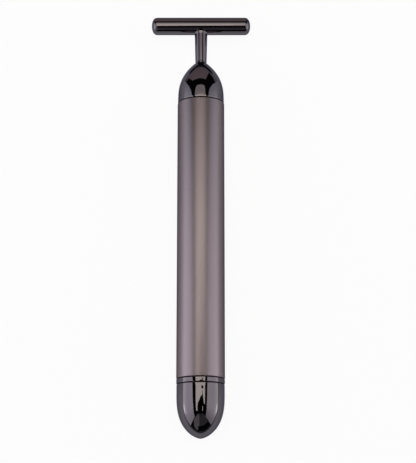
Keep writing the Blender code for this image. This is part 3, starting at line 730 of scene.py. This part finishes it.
coil = {"Wire": coil_wire, "Neck": core_neck, "Length": core_high - core_low, "Inner": coil_inner,
        "Turns": 9, "Start": (core_low + core_high) / 2, "Axis height": axis_z}
dress(grown("armature_coils", enamel, coil, coils), enamel, "rotor", "motor_copper")

for number in range(3):
    start, sweep = 2 * pi * number / 3 + bar_gap, 2 * pi / 3 - 2 * bar_gap
    outline = arc(bar_outer, start, sweep, 12) + arc(bar_inner, start + sweep, -sweep, 12)
    segment = drawn_out(f"commutator_bar_{number + 1}", outline, bars_low, bars_high, 0.05 * mm)
    dress(segment, copper, "rotor", "motor_copper", *([] if number else ["motor_commutator"]))
lathed("commutator_hub", oblong(shaft_radius, hub_radius, bars_low, hub_end),
       0.04 * mm, 48, nylon, "rotor", "motor_plastic")

cast = grained("sintered_weight", (0.28, 0.28, 0.27), (0.50, 0.49, 0.46), 0.2 * mm, (0.34, 0.22),
               0.012 * mm, 4, Metallic=1)
flank, hub_flank = weight_flank / weight_radius, weight_flank / weight_hub
outline = arc(weight_radius, -flank, 2 * flank - pi, 40)
outline += arc(weight_hub, hub_flank - pi, -pi - 2 * hub_flank, 40)
weight = drawn_out("buzzer_weight", outline, weight_low, weight_high, 0.2 * mm)
bore = turned("weight_bore", oblong(0, shaft_hole, weight_low - mm, weight_high + mm), 48)
dress(cut(weight, bore), cast, "rotor", "motor_steel", "eccentric_weight")


# Ground ring and leads: a punched brass washer touches the tube's bore and carries the current
# back. The leads are stranded wire in coloured sleeving, soldered at both ends.

ground_low, ground_high = span("ground_ring")
ground_bore, ground_radius = 3.85 * mm, 7.42 * mm
lead_radius, strand_radius, lead_bared = 0.5 * mm, 0.27 * mm, 0.9 * mm
drop_radius, drop_length = 0.42 * mm, 0.35 * mm

brass, shader, wire = new_finish("contact_brass")
lathe = grain(wire, 0.35 * mm, 2)
patina = grain(wire, 3 * mm, 4)
connect(shader, Base_Color=mixed(patina, rgb(0.60, 0.43, 0.20), rgb(0.80, 0.63, 0.33)), Metallic=1,
        Roughness=0.17 + patina * 0.2 + lathe * 0.05, Normal=relief(wire, lathe, 0.003 * mm))
lathed("ground_ring_punched", oblong(ground_bore, ground_radius, ground_low, ground_high),
       0.09 * mm, 96, brass, "handle", "contact_brass", "ground_ring")

solder = grained("solder", (0.55, 0.55, 0.56), (0.74, 0.74, 0.72), 0.4 * mm, (0.2, 0.2), 0.01 * mm,
                 Metallic=1)


def strand(name, places, radius, sides=12):
    """A round wire through the given places, with closed ends."""
    route = []
    padded = [places[0] * 2 - places[1], *places, places[-1] * 2 - places[-2]]
    for before, start, end, after in zip(padded, padded[1:], padded[2:], padded[3:]):
        for step in range(10):
            t = step / 10
            route.append(0.5 * (2 * start + (end - before) * t
                                + (2 * before - 5 * start + 4 * end - after) * t ** 2
                                + (3 * start - before - 3 * end + after) * t ** 3))
    route.append(places[-1])
    across, sections = Vector((1, 0, 0)), []
    for i, place in enumerate(route):
        ahead = (route[min(i + 1, len(route) - 1)] - route[max(i - 1, 0)]).normalized()
        across = (across - ahead * across.dot(ahead)).normalized()
        up = ahead.cross(across)
        sections.append([place + (across * cos(turn) + up * sin(turn)) * radius
                         for turn in [2 * pi * side / sides for side in range(sides)]])
    return skinned(name, sections)


def solder_drop(name, centre):
    """A drop of solder round the end of a wire."""
    steps = [pi * step / 10 for step in range(11)]
    drop = [(drop_radius * sin(step) ** 0.8, centre.y - drop_length * cos(step)) for step in steps]
    drop[0], drop[-1] = (0, drop[0][1]), (0, drop[-1][1])
    bead = turned(name, drop, 24)
    for vertex in bead.data.vertices:
        vertex.co.x += centre.x
        vertex.co.z += centre.z - axis_z
    return dress(bead, solder, "handle", "plated_contact")


contact_low, contact_high = span("positive_contact")
lead_start, lead_end = contact_high + 0.1 * mm, brush_low - 0.1 * mm
sway, run, tab = 3.15 * mm, lead_end - lead_start, 4.35 * mm
plus_places = [(0, 0, 0), (0, 0, 0.08), (0.35, 0.5, 0.3), (0.9, 0.7, 0.55), (0.95, 0.2, 0.8)]
plus_route = [Vector((x * sway, lead_start + run * along, axis_z - down * sway))
              for x, down, along in plus_places]
plus_route += [Vector((brush_offset, lead_end - back, axis_z)) for back in (2 * mm, 0)]
minus_places = [(brush_offset, 0), (brush_offset, 1), ((brush_offset + tab) / 2, 4.9),
                (tab, 1.9), (tab, 0.9)]
minus_route = [Vector((-x, lead_end - back * mm, axis_z)) for x, back in minus_places]
for colour, places, node, *shades in (
        ("red", plus_route, "positive_lead", (0.36, 0.010, 0.008), (0.55, 0.030, 0.022)),
        ("black", minus_route, "negative_lead", (0.010, 0.010, 0.011), (0.028, 0.027, 0.027))):
    sleeving = grained(f"{colour}_sleeving", *shades, 0.9 * mm, (0.32, 0.2), 0.01 * mm)
    slot = f"{colour}_lead"
    dress(strand(f"{slot}_strands", places, strand_radius), copper, "handle", slot)
    first = (places[1] - places[0]).normalized() * lead_bared
    last = (places[-2] - places[-1]).normalized() * lead_bared
    covered = [places[0] + first, *places[1:-1], places[-1] + last]
    dress(strand(f"{slot}_sleeve", covered, lead_radius, 16), sleeving, "handle", slot, node)
    solder_drop(f"{colour}_solder_start", places[0])
    solder_drop(f"{colour}_solder_end", places[-1])


# Spacer and contact carrier: two black mouldings, push fits in the tube. The sleeve keeps the
# carrier at its distance from the motor, and the leads run up through it.

spacer_low, spacer_high = span("spacer_sleeve")
carrier_low, carrier_high = span("contact_carrier")
spacer_bore, carrier_bore, tail_hole = 6.3 * mm, 4.5 * mm, 0.8 * mm
plate_thickness = 0.4 * mm
carrier_shelf = contact_low + plate_thickness + 0.1 * mm

spacer_outline = eased(oblong(spacer_bore, moulded_radius, spacer_low, spacer_high), 0.25 * mm)
carrier_outline = eased([
    (carrier_bore, carrier_low, 0.3 * mm), (moulded_radius, carrier_low, 0.3 * mm),
    (moulded_radius, carrier_high, 0.3 * mm), (tail_hole, carrier_high), (tail_hole, carrier_shelf),
    (carrier_bore, carrier_shelf)], 0.08 * mm)
for node, outline in (("spacer_sleeve", spacer_outline), ("contact_carrier", carrier_outline)):
    sleeve = fluted(turned(f"{node}_moulded", outline), 6.8 * mm, 6, 0.35 * mm, flute_share)
    dress(sleeve, moulding, "handle", "black_moulding", node)


# Positive contact and spring: a pressed brass plate with a riveted tail in the carrier's floor,
# and a conical spring of hard wire that bears on the battery's nub and pushes it to the cap.

plate_radius, plate_top = 4.28 * mm, contact_low + plate_thickness
tail_radius, groove_depth, groove_slope = 0.69 * mm, 0.12 * mm, 0.15 * mm


def groove(outer, inner, top):
    """The corners of a shallow groove pressed into a plate, from its outer to its inner edge."""
    return [(outer, top), (outer - groove_slope, top - groove_depth),
            (inner + groove_slope, top - groove_depth), (inner, top)]


lathed("positive_contact_pressed", [
    (0, contact_low), (plate_radius, contact_low), (plate_radius, plate_top),
    *groove(3.3 * mm, 2.6 * mm, plate_top), (tail_radius, plate_top), (tail_radius, contact_high),
    (0, contact_high)], 0.1 * mm, 72, brass, "handle", "contact_brass", "positive_contact")

spring_low, spring_high = span("battery_spring")
spring_gauge = 0.25 * mm
spring_start, spring_end = spring_low + spring_gauge, spring_high - spring_gauge

bright_wire = grained("bright_spring_wire", (0.55, 0.55, 0.55), (0.74, 0.73, 0.70), 0.25 * mm,
                      (0.16, 0.16), 0.003 * mm, Metallic=1)


def conical_spring(wire, size):
    """A cone of round wire, wound closer at both ends."""
    route = wire.node("GeometryNodeCurveSpiral", {}, {
        "Resolution": 64, "Rotations": size["Turns"], "Start Radius": size["Small radius"],
        "End Radius": size["Large radius"], "Height": size["Height"]})
    along = wire.node("GeometryNodeSplineParameter")
    closing = along * along * (3 - 2 * along) - along
    shift = place_of(wire, Z=closing * size["Height"])
    closed = wire.node("GeometryNodeSetPosition", {}, {"Geometry": route, "Offset": shift})
    return laid(wire, swept(wire, closed, round_wire(wire, size["Gauge"], 14)), size)


coil = {"Turns": 3.5, "Small radius": 2.1 * mm, "Large radius": 3.7 * mm, "Gauge": spring_gauge,
        "Height": spring_end - spring_start, "Start": spring_start, "Axis height": axis_z}
spring = grown("battery_spring_wound", bright_wire, coil, conical_spring)
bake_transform(spring)
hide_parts("battery_spring")


# Battery: one AA cell, a plated steel can with a nub, shrunk into a plain printed film that
# laps over itself in a seam and folds over both ends. It slides as the cap is unscrewed.

can_low, can_high = span("battery_can")
film_low, film_high = span("battery_jacket")
base_low, base_high = span("battery_negative_cap")
film_radius, film_inner, film_lip, film_fold = 6.96 * mm, 6.75 * mm, 5.85 * mm, 0.3 * mm
cell_radius, nub_radius, nub_height = 6.68 * mm, 2.75 * mm, 1.1 * mm
shoulder, gutter, nub_dimple = can_high - nub_height, 0.25 * mm, 0.08 * mm
base_radius, base_dimple = 4.42 * mm, 0.06 * mm
ink_edge, line_middle, line_half = film_high - 13 * mm, film_high - 14.2 * mm, 0.35 * mm

plated_can = grained("plated_can", (0.55, 0.55, 0.54), (0.72, 0.71, 0.68), 1.8 * mm, (0.18, 0.22),
                     0.006 * mm, 4, Metallic=1)
lathed("battery_can_drawn", [
    (0, can_low), (cell_radius, can_low, 0.5 * mm), (cell_radius, shoulder, 0.5 * mm),
    (4.2 * mm, shoulder), (4.0 * mm, shoulder - gutter), (3.0 * mm, shoulder - gutter),
    (nub_radius, shoulder), (nub_radius, can_high, 0.35 * mm), (1.2 * mm, can_high),
    (1.1 * mm, can_high - nub_dimple), (0, can_high - nub_dimple)],
    0.1 * mm, 96, plated_can, "battery", "battery_case", "battery_can")
lathed("battery_base_pressed", [
    (0, base_low + base_dimple), (2.6 * mm, base_low + base_dimple), (2.8 * mm, base_low),
    (base_radius, base_low, 0.2 * mm), (base_radius, base_high), (0, base_high)],
    0.05 * mm, 72, plated_can, "battery", "battery_case", "battery_negative_cap")


def axes(wire):
    """X, Y and Z of a place, in metres."""
    split = wire.node("ShaderNodeSeparateXYZ", {}, {0: wire.node("ShaderNodeTexCoord", output=3)})
    return [split.other(axis) for axis in range(3)]


def between(value, start, end, first, last):
    """Runs smoothly from first to last while the value goes from start to end."""
    return value.node("ShaderNodeMapRange", {"interpolation_type": "SMOOTHSTEP"},
                      {0: value, 1: start, 2: end, 3: first, 4: last})


film, shader, wire = new_finish("battery_film")
x, y, z = axes(wire)
ink = grain(wire, 2.5 * mm, 3)
plus_band = between(y, ink_edge - 0.1 * mm, ink_edge, 0, 1)
hairline = between((y - line_middle).sum("ABSOLUTE"), line_half, line_half + 0.05 * mm, 1, 0)
bare = plus_band.sum("MAXIMUM", plus_band, hairline)
green = mixed(ink, rgb(0.012, 0.085, 0.075), rgb(0.020, 0.115, 0.100))
pale = mixed(ink, rgb(0.50, 0.51, 0.50), rgb(0.60, 0.60, 0.58))
connect(shader, Base_Color=mixed(bare, green, pale), Metallic=bare * 0.7, Roughness=0.24 + ink * 0.12,
        Coat_Weight=0.4, Coat_Roughness=0.15, Normal=relief(wire, ink, 0.02 * mm))
fold_low, fold_high = film_low + film_fold, film_high - film_fold
outline = eased([
    (film_lip, film_low), (film_radius, film_low, 0.5 * mm), (film_radius, film_high, 0.5 * mm),
    (film_lip, film_high), (film_lip, fold_high), (film_inner, fold_high, 0.3 * mm),
    (film_inner, fold_low, 0.3 * mm), (film_lip, fold_low)], 0.06 * mm)
jacket = fluted(turned("battery_film_shrunk", outline, 120), 6.8 * mm, 1, -0.03 * mm, 0.1)
dress(jacket, film, "battery", "battery_jacket", "battery_jacket")


# Base ring: a black nickel plated brass bush. Its sleeve is pressed into the tube, its band
# shows as a thin ring, and the stub below the band carries the thread that the cap turns on.

stub_end, sleeve_end = span("base_ferrule")
band_radius = radius_of("base_ferrule")
band_top = tube_foot - 0.3 * mm
band_bottom = band_top - 1.6 * mm
stub_bore, stub_radius, sleeve_radius = 7.15 * mm, 7.47 * mm, 7.75 * mm
thread_lead, thread_turns = 1.5 * mm, 2.25
thread_start, thread_height = stub_end + thread_lead, 0.36 * mm

lathed("base_ring_plated", [
    (stub_bore, stub_end, 0.06 * mm), (stub_radius, stub_end, 0.14 * mm),
    (stub_radius, band_bottom, 0.05 * mm), (band_radius, band_bottom, 0.16 * mm),
    (band_radius, band_top, 0.16 * mm), (sleeve_radius, band_top, 0.05 * mm),
    (sleeve_radius, sleeve_end), (stub_bore, sleeve_end)],
    0.08 * mm, 128, nickel, "handle", "black_nickel", "base_ferrule")

thread = {"Turns": thread_turns, "Lead": thread_lead, "Root width": 0.75 * mm,
          "Crest width": 0.35 * mm, "Axis height": axis_z, "Radius": stub_radius,
          "Root": -0.1 * mm, "Crest": thread_height, "Start": thread_start}
dress(grown("base_ring_thread", nickel, thread, thread_ridge), nickel, "handle", "black_nickel")


# Seal: a moulded rubber ring between the cap's mouth and the band. It keeps splashes out and
# gives the cap its drag.

seal_low, seal_high = span("cap_seal")
seal_inner, seal_outer = stub_radius + 0.07 * mm, radius_of("cap_seal")

rubber = grained("seal_rubber", (0.010, 0.010, 0.011), (0.022, 0.021, 0.021), 0.7 * mm, (0.55, 0.2),
                 0.01 * mm)
outline = eased(oblong(seal_inner, seal_outer, seal_low, seal_high), 0.22 * mm, 6)
dress(turned("cap_seal_moulded", outline), rubber, "handle", "seal_rubber", "cap_seal")


# Base cap: the bullet-shaped end, deep drawn brass in the same black nickel. It screws up the
# stub to close the battery's circuit, so it is the wand's only switch.

cap_tip, cap_top = span("base_cap")
cap_radius = radius_of("base_cap")
cap_nose, cap_swell, cap_point = 15.9 * mm, 2.84, 1.6
cap_wall = 1.2 * mm
cap_root, cap_mouth, cap_floor_bore = 7.98 * mm, 8.12 * mm, 7.65 * mm
cap_floor, cap_mouth_floor = cap_tip + 11.1 * mm, cap_top - 1.3 * mm
cap_step = stub_end + thread_lead / 2


def nose(wall, steps):
    """The side of the cap's nose, so far inside its surface, from its full radius to its tip."""
    side = []
    radius, length = cap_radius - wall, cap_nose - wall
    for step in range(steps):
        turn = pi / 2 * step / steps
        along = length - length * sin(turn) ** (2 / cap_swell)
        side.append((radius * cos(turn) ** (2 / cap_point), cap_tip + wall + along, 0))
    return side + [(0, cap_tip + wall, 0)]


outer = nose(0, 56)
lining = nose(cap_wall, 24)
inner = [(radius, along) for radius, along, ease in reversed(lining) if along < cap_floor]
shelf = [(cap_floor_bore, cap_floor), (cap_floor_bore, cap_step),
         (cap_root, cap_step + cap_root - cap_floor_bore), (cap_root, cap_mouth_floor),
         (cap_mouth, cap_mouth_floor)]
mouth = [(cap_mouth, cap_top, 0.07 * mm), (cap_radius, cap_top, 0.17 * mm)]
outline = [*eased(mouth + outer[:-1], 0.1 * mm), outer[-1][:2], *inner, *eased(shelf, 0.05 * mm)]
cap = turned("base_cap_plated", outline, 128)
dress(cap, nickel, "twist_cap", "black_nickel", "base_cap")

inner_thread = {**thread, "Radius": cap_root, "Root": 0.1 * mm, "Crest": -thread_height,
                "Start": thread_start + thread_lead / 2}
dress(grown("base_cap_thread", nickel, inner_thread, thread_ridge), nickel, "twist_cap", "black_nickel")


# Cap plug: a black moulding pushed into the nose of the cap. It fills the taper and carries the
# contacts, and its flutes leave room for the air.

plug_low, plug_high = span("cap_plug")
rivet_hole, plug_room = 0.9 * mm, 0.22 * mm
side = [(radius - plug_room, along, 0) for radius, along, ease in reversed(lining)
        if plug_low + 0.2 * mm < along < plug_high - 0.3 * mm]
outline = eased([
    (rivet_hole, plug_low), (side[0][0] - 0.25 * mm, plug_low), *side,
    (side[-1][0] + 0.05 * mm, plug_high), (rivet_hole, plug_high)], 0.12 * mm)
plug = fluted(turned("cap_plug_moulded", outline), 4.2 * mm, 8, 0.4 * mm, 0.34)
dress(plug, moulding, "twist_cap", "black_moulding", "cap_plug")


# Negative contact: a plated disc that closes onto the end of the stub when the cap is screwed
# home, and a brass rivet through its middle that touches the battery.

disc_low, disc_high = span("negative_contact")
rivet_low, rivet_high = span("contact_rivet")
rivet_foot, rivet_end = disc_high + 0.05 * mm, rivet_low + 0.5 * mm
disc_radius, rivet_shank, rivet_head = 7.42 * mm, 0.8 * mm, 1.93 * mm

nickelled, shader, wire = new_finish("nickelled_contact")
x, y, z = axes(wire)
wear = grain(wire, 1.4 * mm, 4)
off_axis = z - axis_z
from_axis = (x * x + off_axis * off_axis).sum("SQRT")
rubbed = between(from_axis, 7.0 * mm, 7.2 * mm, 0, 1) * between(wear, 0.35, 0.65, 0.3, 1)
plate_colour = mixed(wear, rgb(0.60, 0.58, 0.54), rgb(0.76, 0.74, 0.69))
connect(shader, Base_Color=mixed(rubbed, plate_colour, rgb(0.66, 0.52, 0.29)), Metallic=1,
        Roughness=0.16 + wear * 0.18 + rubbed * 0.12, Normal=relief(wire, wear, 0.004 * mm))
lathed("negative_contact_pressed", [
    (rivet_hole, disc_low), (disc_radius, disc_low), (disc_radius, disc_high, 0.12 * mm),
    *groove(5.6 * mm, 4.6 * mm, disc_high), (rivet_hole, disc_high)],
    0.1 * mm, 128, nickelled, "twist_cap", "plated_contact", "negative_contact")
lathed("contact_rivet_headed", [
    (0, rivet_end), (0.45 * mm, rivet_end), (0.55 * mm, rivet_low),
    (rivet_shank, rivet_low, 0.1 * mm), (rivet_shank, rivet_foot), (rivet_head, rivet_foot),
    (rivet_head, rivet_foot + 0.22 * mm, 0.12 * mm), (1.35 * mm, rivet_high, 0.3 * mm),
    (0, rivet_high)], 0.05 * mm, 48, brass, "twist_cap", "contact_brass", "contact_rivet")


# Studio: a white table, softboxes overhead and at both sides, a warm wall and a dark one. Cards
# on the table show in gloss only; they are painted shade, patches of table darkened round the wand
# and in front of it. Grey flags keep the far white walls out of the gloss, and a camera on its
# arm hangs over the cap end.

room_half, room_height, flag_half, flag_height = 5, 1.5, 1.5, 0.6
overhead_height, side_distance, back_distance, rig_height = 0.9, 0.65, 1.2, 0.53
table_white = 0.93
dim_tint, painted_shade_tint, dim_strength = rgb(1, 1, 1.06), rgb(0.97, 0.98, 1.05), 0.01


def shown(wire, surface):
    wire.tree.links.new(surface.socket, wire.tree.nodes["Material Output"].inputs["Surface"])


def emission(wire, colour, strength):
    return wire.node("ShaderNodeEmission", {}, {"Color": colour, "Strength": strength})


floor_finish, shader, wire = new_finish("studio_floor")
seen = wire.node("ShaderNodeLightPath", output="Is Camera Ray")
seen = seen + seen.other("Is Glossy Ray") + seen.other("Is Transmission Ray")
connect(shader, Base_Color=rgb(0.85, 0.85, 0.85), Roughness=0.9)
shown(wire, wire.node("ShaderNodeMixShader", {}, {
    0: seen.sum("MINIMUM", seen, 1) * table_white, 1: Wire(wire.tree, shader.outputs[0]),
    2: emission(wire, rgb(1, 1, 1), 1)}))


def sheet_of(name, corners, material):
    """A flat sheet of the studio with the given corners. It isn't part of the wand."""
    mesh = bpy.data.meshes.new(name)
    mesh.from_pydata(corners, [], [tuple(range(len(corners)))])
    mesh.materials.append(material)
    piece = bpy.data.objects.new(name, mesh)
    bpy.context.scene.collection.objects.link(piece)
    return piece


def lying(outline, height):
    return [(x, y, height) for x, y in outline]


def fence(name, half, low, high, material):
    """Four upright sheets round the set, at the same distance on every side."""
    corners = oblong(-half, half, -half, half)
    return [sheet_of(f"{name}_{side + 1}", [(*corners[side - 1], low), (*corners[side], low),
                                            (*corners[side], high), (*corners[side - 1], high)], material)
            for side in range(4)]


def glowing(name, build):
    """A material that only gives light: build gives its colour and its strength at a place."""
    material, shader, wire = new_finish(name)
    shown(wire, emission(wire, *build(*axes(wire))))
    return material


def overhead_light(x, y, z):
    far = between(y, 0.3, 0.41, 0, 1)
    return mixed(far, rgb(1.0, 0.935, 0.855), rgb(1.0, 0.905, 0.895)), between(far, 0, 1, 2.72, 1.04)


def side_light(x, y, z):
    right = between(x, -0.1, 0.1, 0, 1)
    head = between(y, 0.15, 0.45, 0, 1)
    low = between(z, 0, 0.35, 0.7, 0) * between(y, -0.36, -0.24, 0, 1) * between(y, 0.05, 0.3, 1, 0)
    spot = between(z, 0, 0.14, 3.2, 0) * between(y, -0.28, -0.18, 0, 1) * between(y, -0.14, -0.04, 1, 0)
    front = between(y, -0.65, -0.15, between(right, 0, 1, 0.68, 0.56), 1)
    near = mixed(right, rgb(1.0, 0.965, 1.08), rgb(1.0, 0.955, 1.02))
    strength = (between(head, 0, 1, 1.75, 1.06) + low + spot) * front * between(right, 0, 1, 1.04, 0.95)
    return mixed(head, near, rgb(0.91, 0.94, 1.10)), strength


def warm_wall(x, y, z):
    return rgb(1.0, 0.79, 0.81), between(z, 0.3, 0.85, 0.56, 0.59)


def dark_wall(x, y, z):
    lit = between(x, -0.15, -0.05, 1, 0) + between(x * 0.487 + z * 0.873, 0.88, 0.9, 0, 0.7)
    return rgb(0.98, 0.93, 1.0), between(lit, 0, 1, 0.16, 0.5) * between(z, 0.8, 0.95, 1, 0.6)


# Painted shade, in gloss only: the table in front of the cap goes black away from the wand and white next
# to it.
def front_painted_shade(x, y, z):
    return painted_shade_tint, between(y, -0.19, -0.09, 0, table_white)


# Painted shade, in gloss only: the table behind the head, darkened to about half except close to the bar,
# and darker still towards its left edge.
def back_painted_shade(x, y, z):
    past_head = y - 0.06
    apart = x * x + past_head * past_head
    corner = between(y + x * 0.8, 0.043, 0.067, 0.9, 0) * between(apart, 0.001, 0.012, 0, 1)
    return painted_shade_tint, between(apart, 0.0005, 0.003, table_white, 0.46) * (1 - corner)


# Painted shade, in gloss only: the table beside the wand's left side, a little darker towards the head.
def left_painted_shade(x, y, z):
    beside = between(y, -0.05, 0.05, 0.88, 0.8)
    return painted_shade_tint, between(y.sum("ABSOLUTE"), 0.052, 0.062, beside, 1)


# Painted shade, in gloss only: the table beside the wand's right side, darker than on the left.
def right_painted_shade(x, y, z):
    return painted_shade_tint, between(y.sum("ABSOLUTE"), 0.052, 0.062, 0.75, table_white)


sheet_of("studio_floor", lying(oblong(-room_half, room_half, -room_half, room_half), 0), floor_finish)
fence("studio_wall", room_half, 0, room_height, floor_finish)
grey = glowing("grey_flag", lambda x, y, z: (dim_tint, dim_strength))
panels = fence("grey_flag", flag_half, 0.012, flag_height, grey)

overhead = [(-0.355, -0.372), (-0.375, 0.15), (-0.525, 0.335), (-0.514, 0.41), (-0.466, 0.511),
            (-0.38, 0.583), (-0.33, 0.612), (0.26, 0.612), (0.322, 0.57), (0.34, 0.486),
            (0.377, 0.386), (0.465, 0.335), (0.345, 0.15), (0.325, -0.372)]
left = [(-0.74, 0.004), (-0.76, 0.4), (-0.8, 0.87), (-0.77, 0.955), (-0.64, 0.965), (-0.5, 0.9),
        (-0.17, 0.9), (0.31, 0.78), (0.368, 0.6), (0.425, 0.36), (0.492, 0.004)]
right = [(-0.69, 0.004), (-0.735, 0.45), (-0.81, 0.89), (-0.82, 1.04), (-0.74, 1.16), (-0.58, 1.11),
         (-0.2, 1.11), (0.3, 1.0), (0.41, 0.8), (0.463, 0.69), (0.503, 0.27), (0.503, 0.004)]
back = [(-1.18, 0.004), (-1.07, 0.45), (-1.03, 0.75), (-0.95, 0.83), (-0.5, 0.94), (0.2, 0.97),
        (0.56, 0.97), (0.58, 0.6), (0.6, 0.004)]
front = [(-0.6, 0.38), (-0.59, 0.26), (-0.44, 0.17), (-0.4, 0.12), (-0.23, 0.12), (-0.22, 0.26),
         (-0.2, 0.4), (0.34, 0.45), (0.65, 0.506), (0.65, 0.585), (0.55, 0.75), (0.18, 0.965),
         (0.0, 0.955), (-0.27, 0.945), (-0.59, 0.65)]
side_glow = glowing("side_light", side_light)
for name, corners, material in (
        ("overhead_softbox", lying(overhead, overhead_height), glowing("overhead_light", overhead_light)),
        ("left_softbox", [(-side_distance, y, z) for y, z in left], side_glow),
        ("right_softbox", [(side_distance, y, z) for y, z in right], side_glow),
        ("back_wall", [(x, back_distance, z) for x, z in back], glowing("warm_wall", warm_wall)),
        ("front_wall", [(x, -1 + (z - 0.38) / 1.2, z) for x, z in front], glowing("dark_wall", dark_wall))):
    panels.append(sheet_of(name, corners, material))

behind = [(-0.024, 0.066), (-0.72, 0.556), (-1.15, 0.86), (-1.15, 1.19), (1.4, 1.19), (1.4, 1.05),
          (0.72, 0.556), (0.024, 0.066), (0.024, 0.125), (-0.024, 0.125)]
# Painted shade: these cards glow darker than the table and show only in gloss, as shade on the table near
# the wand and in front of it.
for name, outline, height, build in (
        ("front_painted_shade", oblong(-0.6, 0.6, -0.98, -0.09), 0.002, front_painted_shade),
        ("back_painted_shade", behind, 0.002, back_painted_shade),
        ("left_painted_shade", oblong(-0.6, -0.006, -0.09, 0.09), 0.001, left_painted_shade),
        ("right_painted_shade", oblong(0.006, 0.6, -0.09, 0.09), 0.001, right_painted_shade)):
    card = sheet_of(f"{name}_card", lying(outline, height), glowing(name, build))
    card.visible_diffuse = card.visible_shadow = False
    panels.append(card)

black_card, shader, wire = new_finish("black_card")
connect(shader, Base_Color=rgb(0.01, 0.01, 0.01), Roughness=0.9, Specular_IOR_Level=0.1)
rig = [(-0.142, -0.32), (-0.142, -0.175), (-0.13, -0.124), (-0.117, -0.096), (-0.064, -0.069),
       (-0.038, -0.049), (-0.004, -0.029), (0.021, -0.0235), (0.048, -0.018), (0.07, -0.012),
       (0.07, 0.003), (0.095, 0.003), (0.095, -0.012), (0.115, -0.018), (0.13, -0.049),
       (0.14, -0.069), (0.15, -0.096), (0.17, -0.11), (0.2, -0.124), (0.2, -0.32), (0.112, -0.32),
       (0.108, -0.15), (0.088, -0.15), (0.086, -0.32)]
knob = [(0.03, 0.052), (0.03, 0.03), (0.055, 0.017), (0.11, 0.017), (0.128, 0.03), (0.128, 0.052)]
for name, outline in (("camera_rig", rig), ("camera_rig_knob", knob)):
    panels.append(sheet_of(name, lying(outline, rig_height), black_card))
for piece in panels:
    piece.visible_camera = False

world = bpy.data.worlds.new("studio")
world.use_nodes = True
connect(world.node_tree.nodes["Background"], Color=dim_tint, Strength=dim_strength)
bpy.context.scene.world = world
bpy.context.scene.view_settings.view_transform = "Standard"

view_elevation = 76.186
camera_data = bpy.data.cameras.new("photo_camera")
camera_data.lens = 107.21
camera_data.sensor_width = 36
camera_data.clip_start = 0.01
camera = bpy.data.objects.new("photo_camera", camera_data)
camera.location = (0.0026, -0.1225, 0.4904)
camera.rotation_euler = (radians(90 - view_elevation), 0, 0)
bpy.context.scene.collection.objects.link(camera)
bpy.context.scene.camera = camera
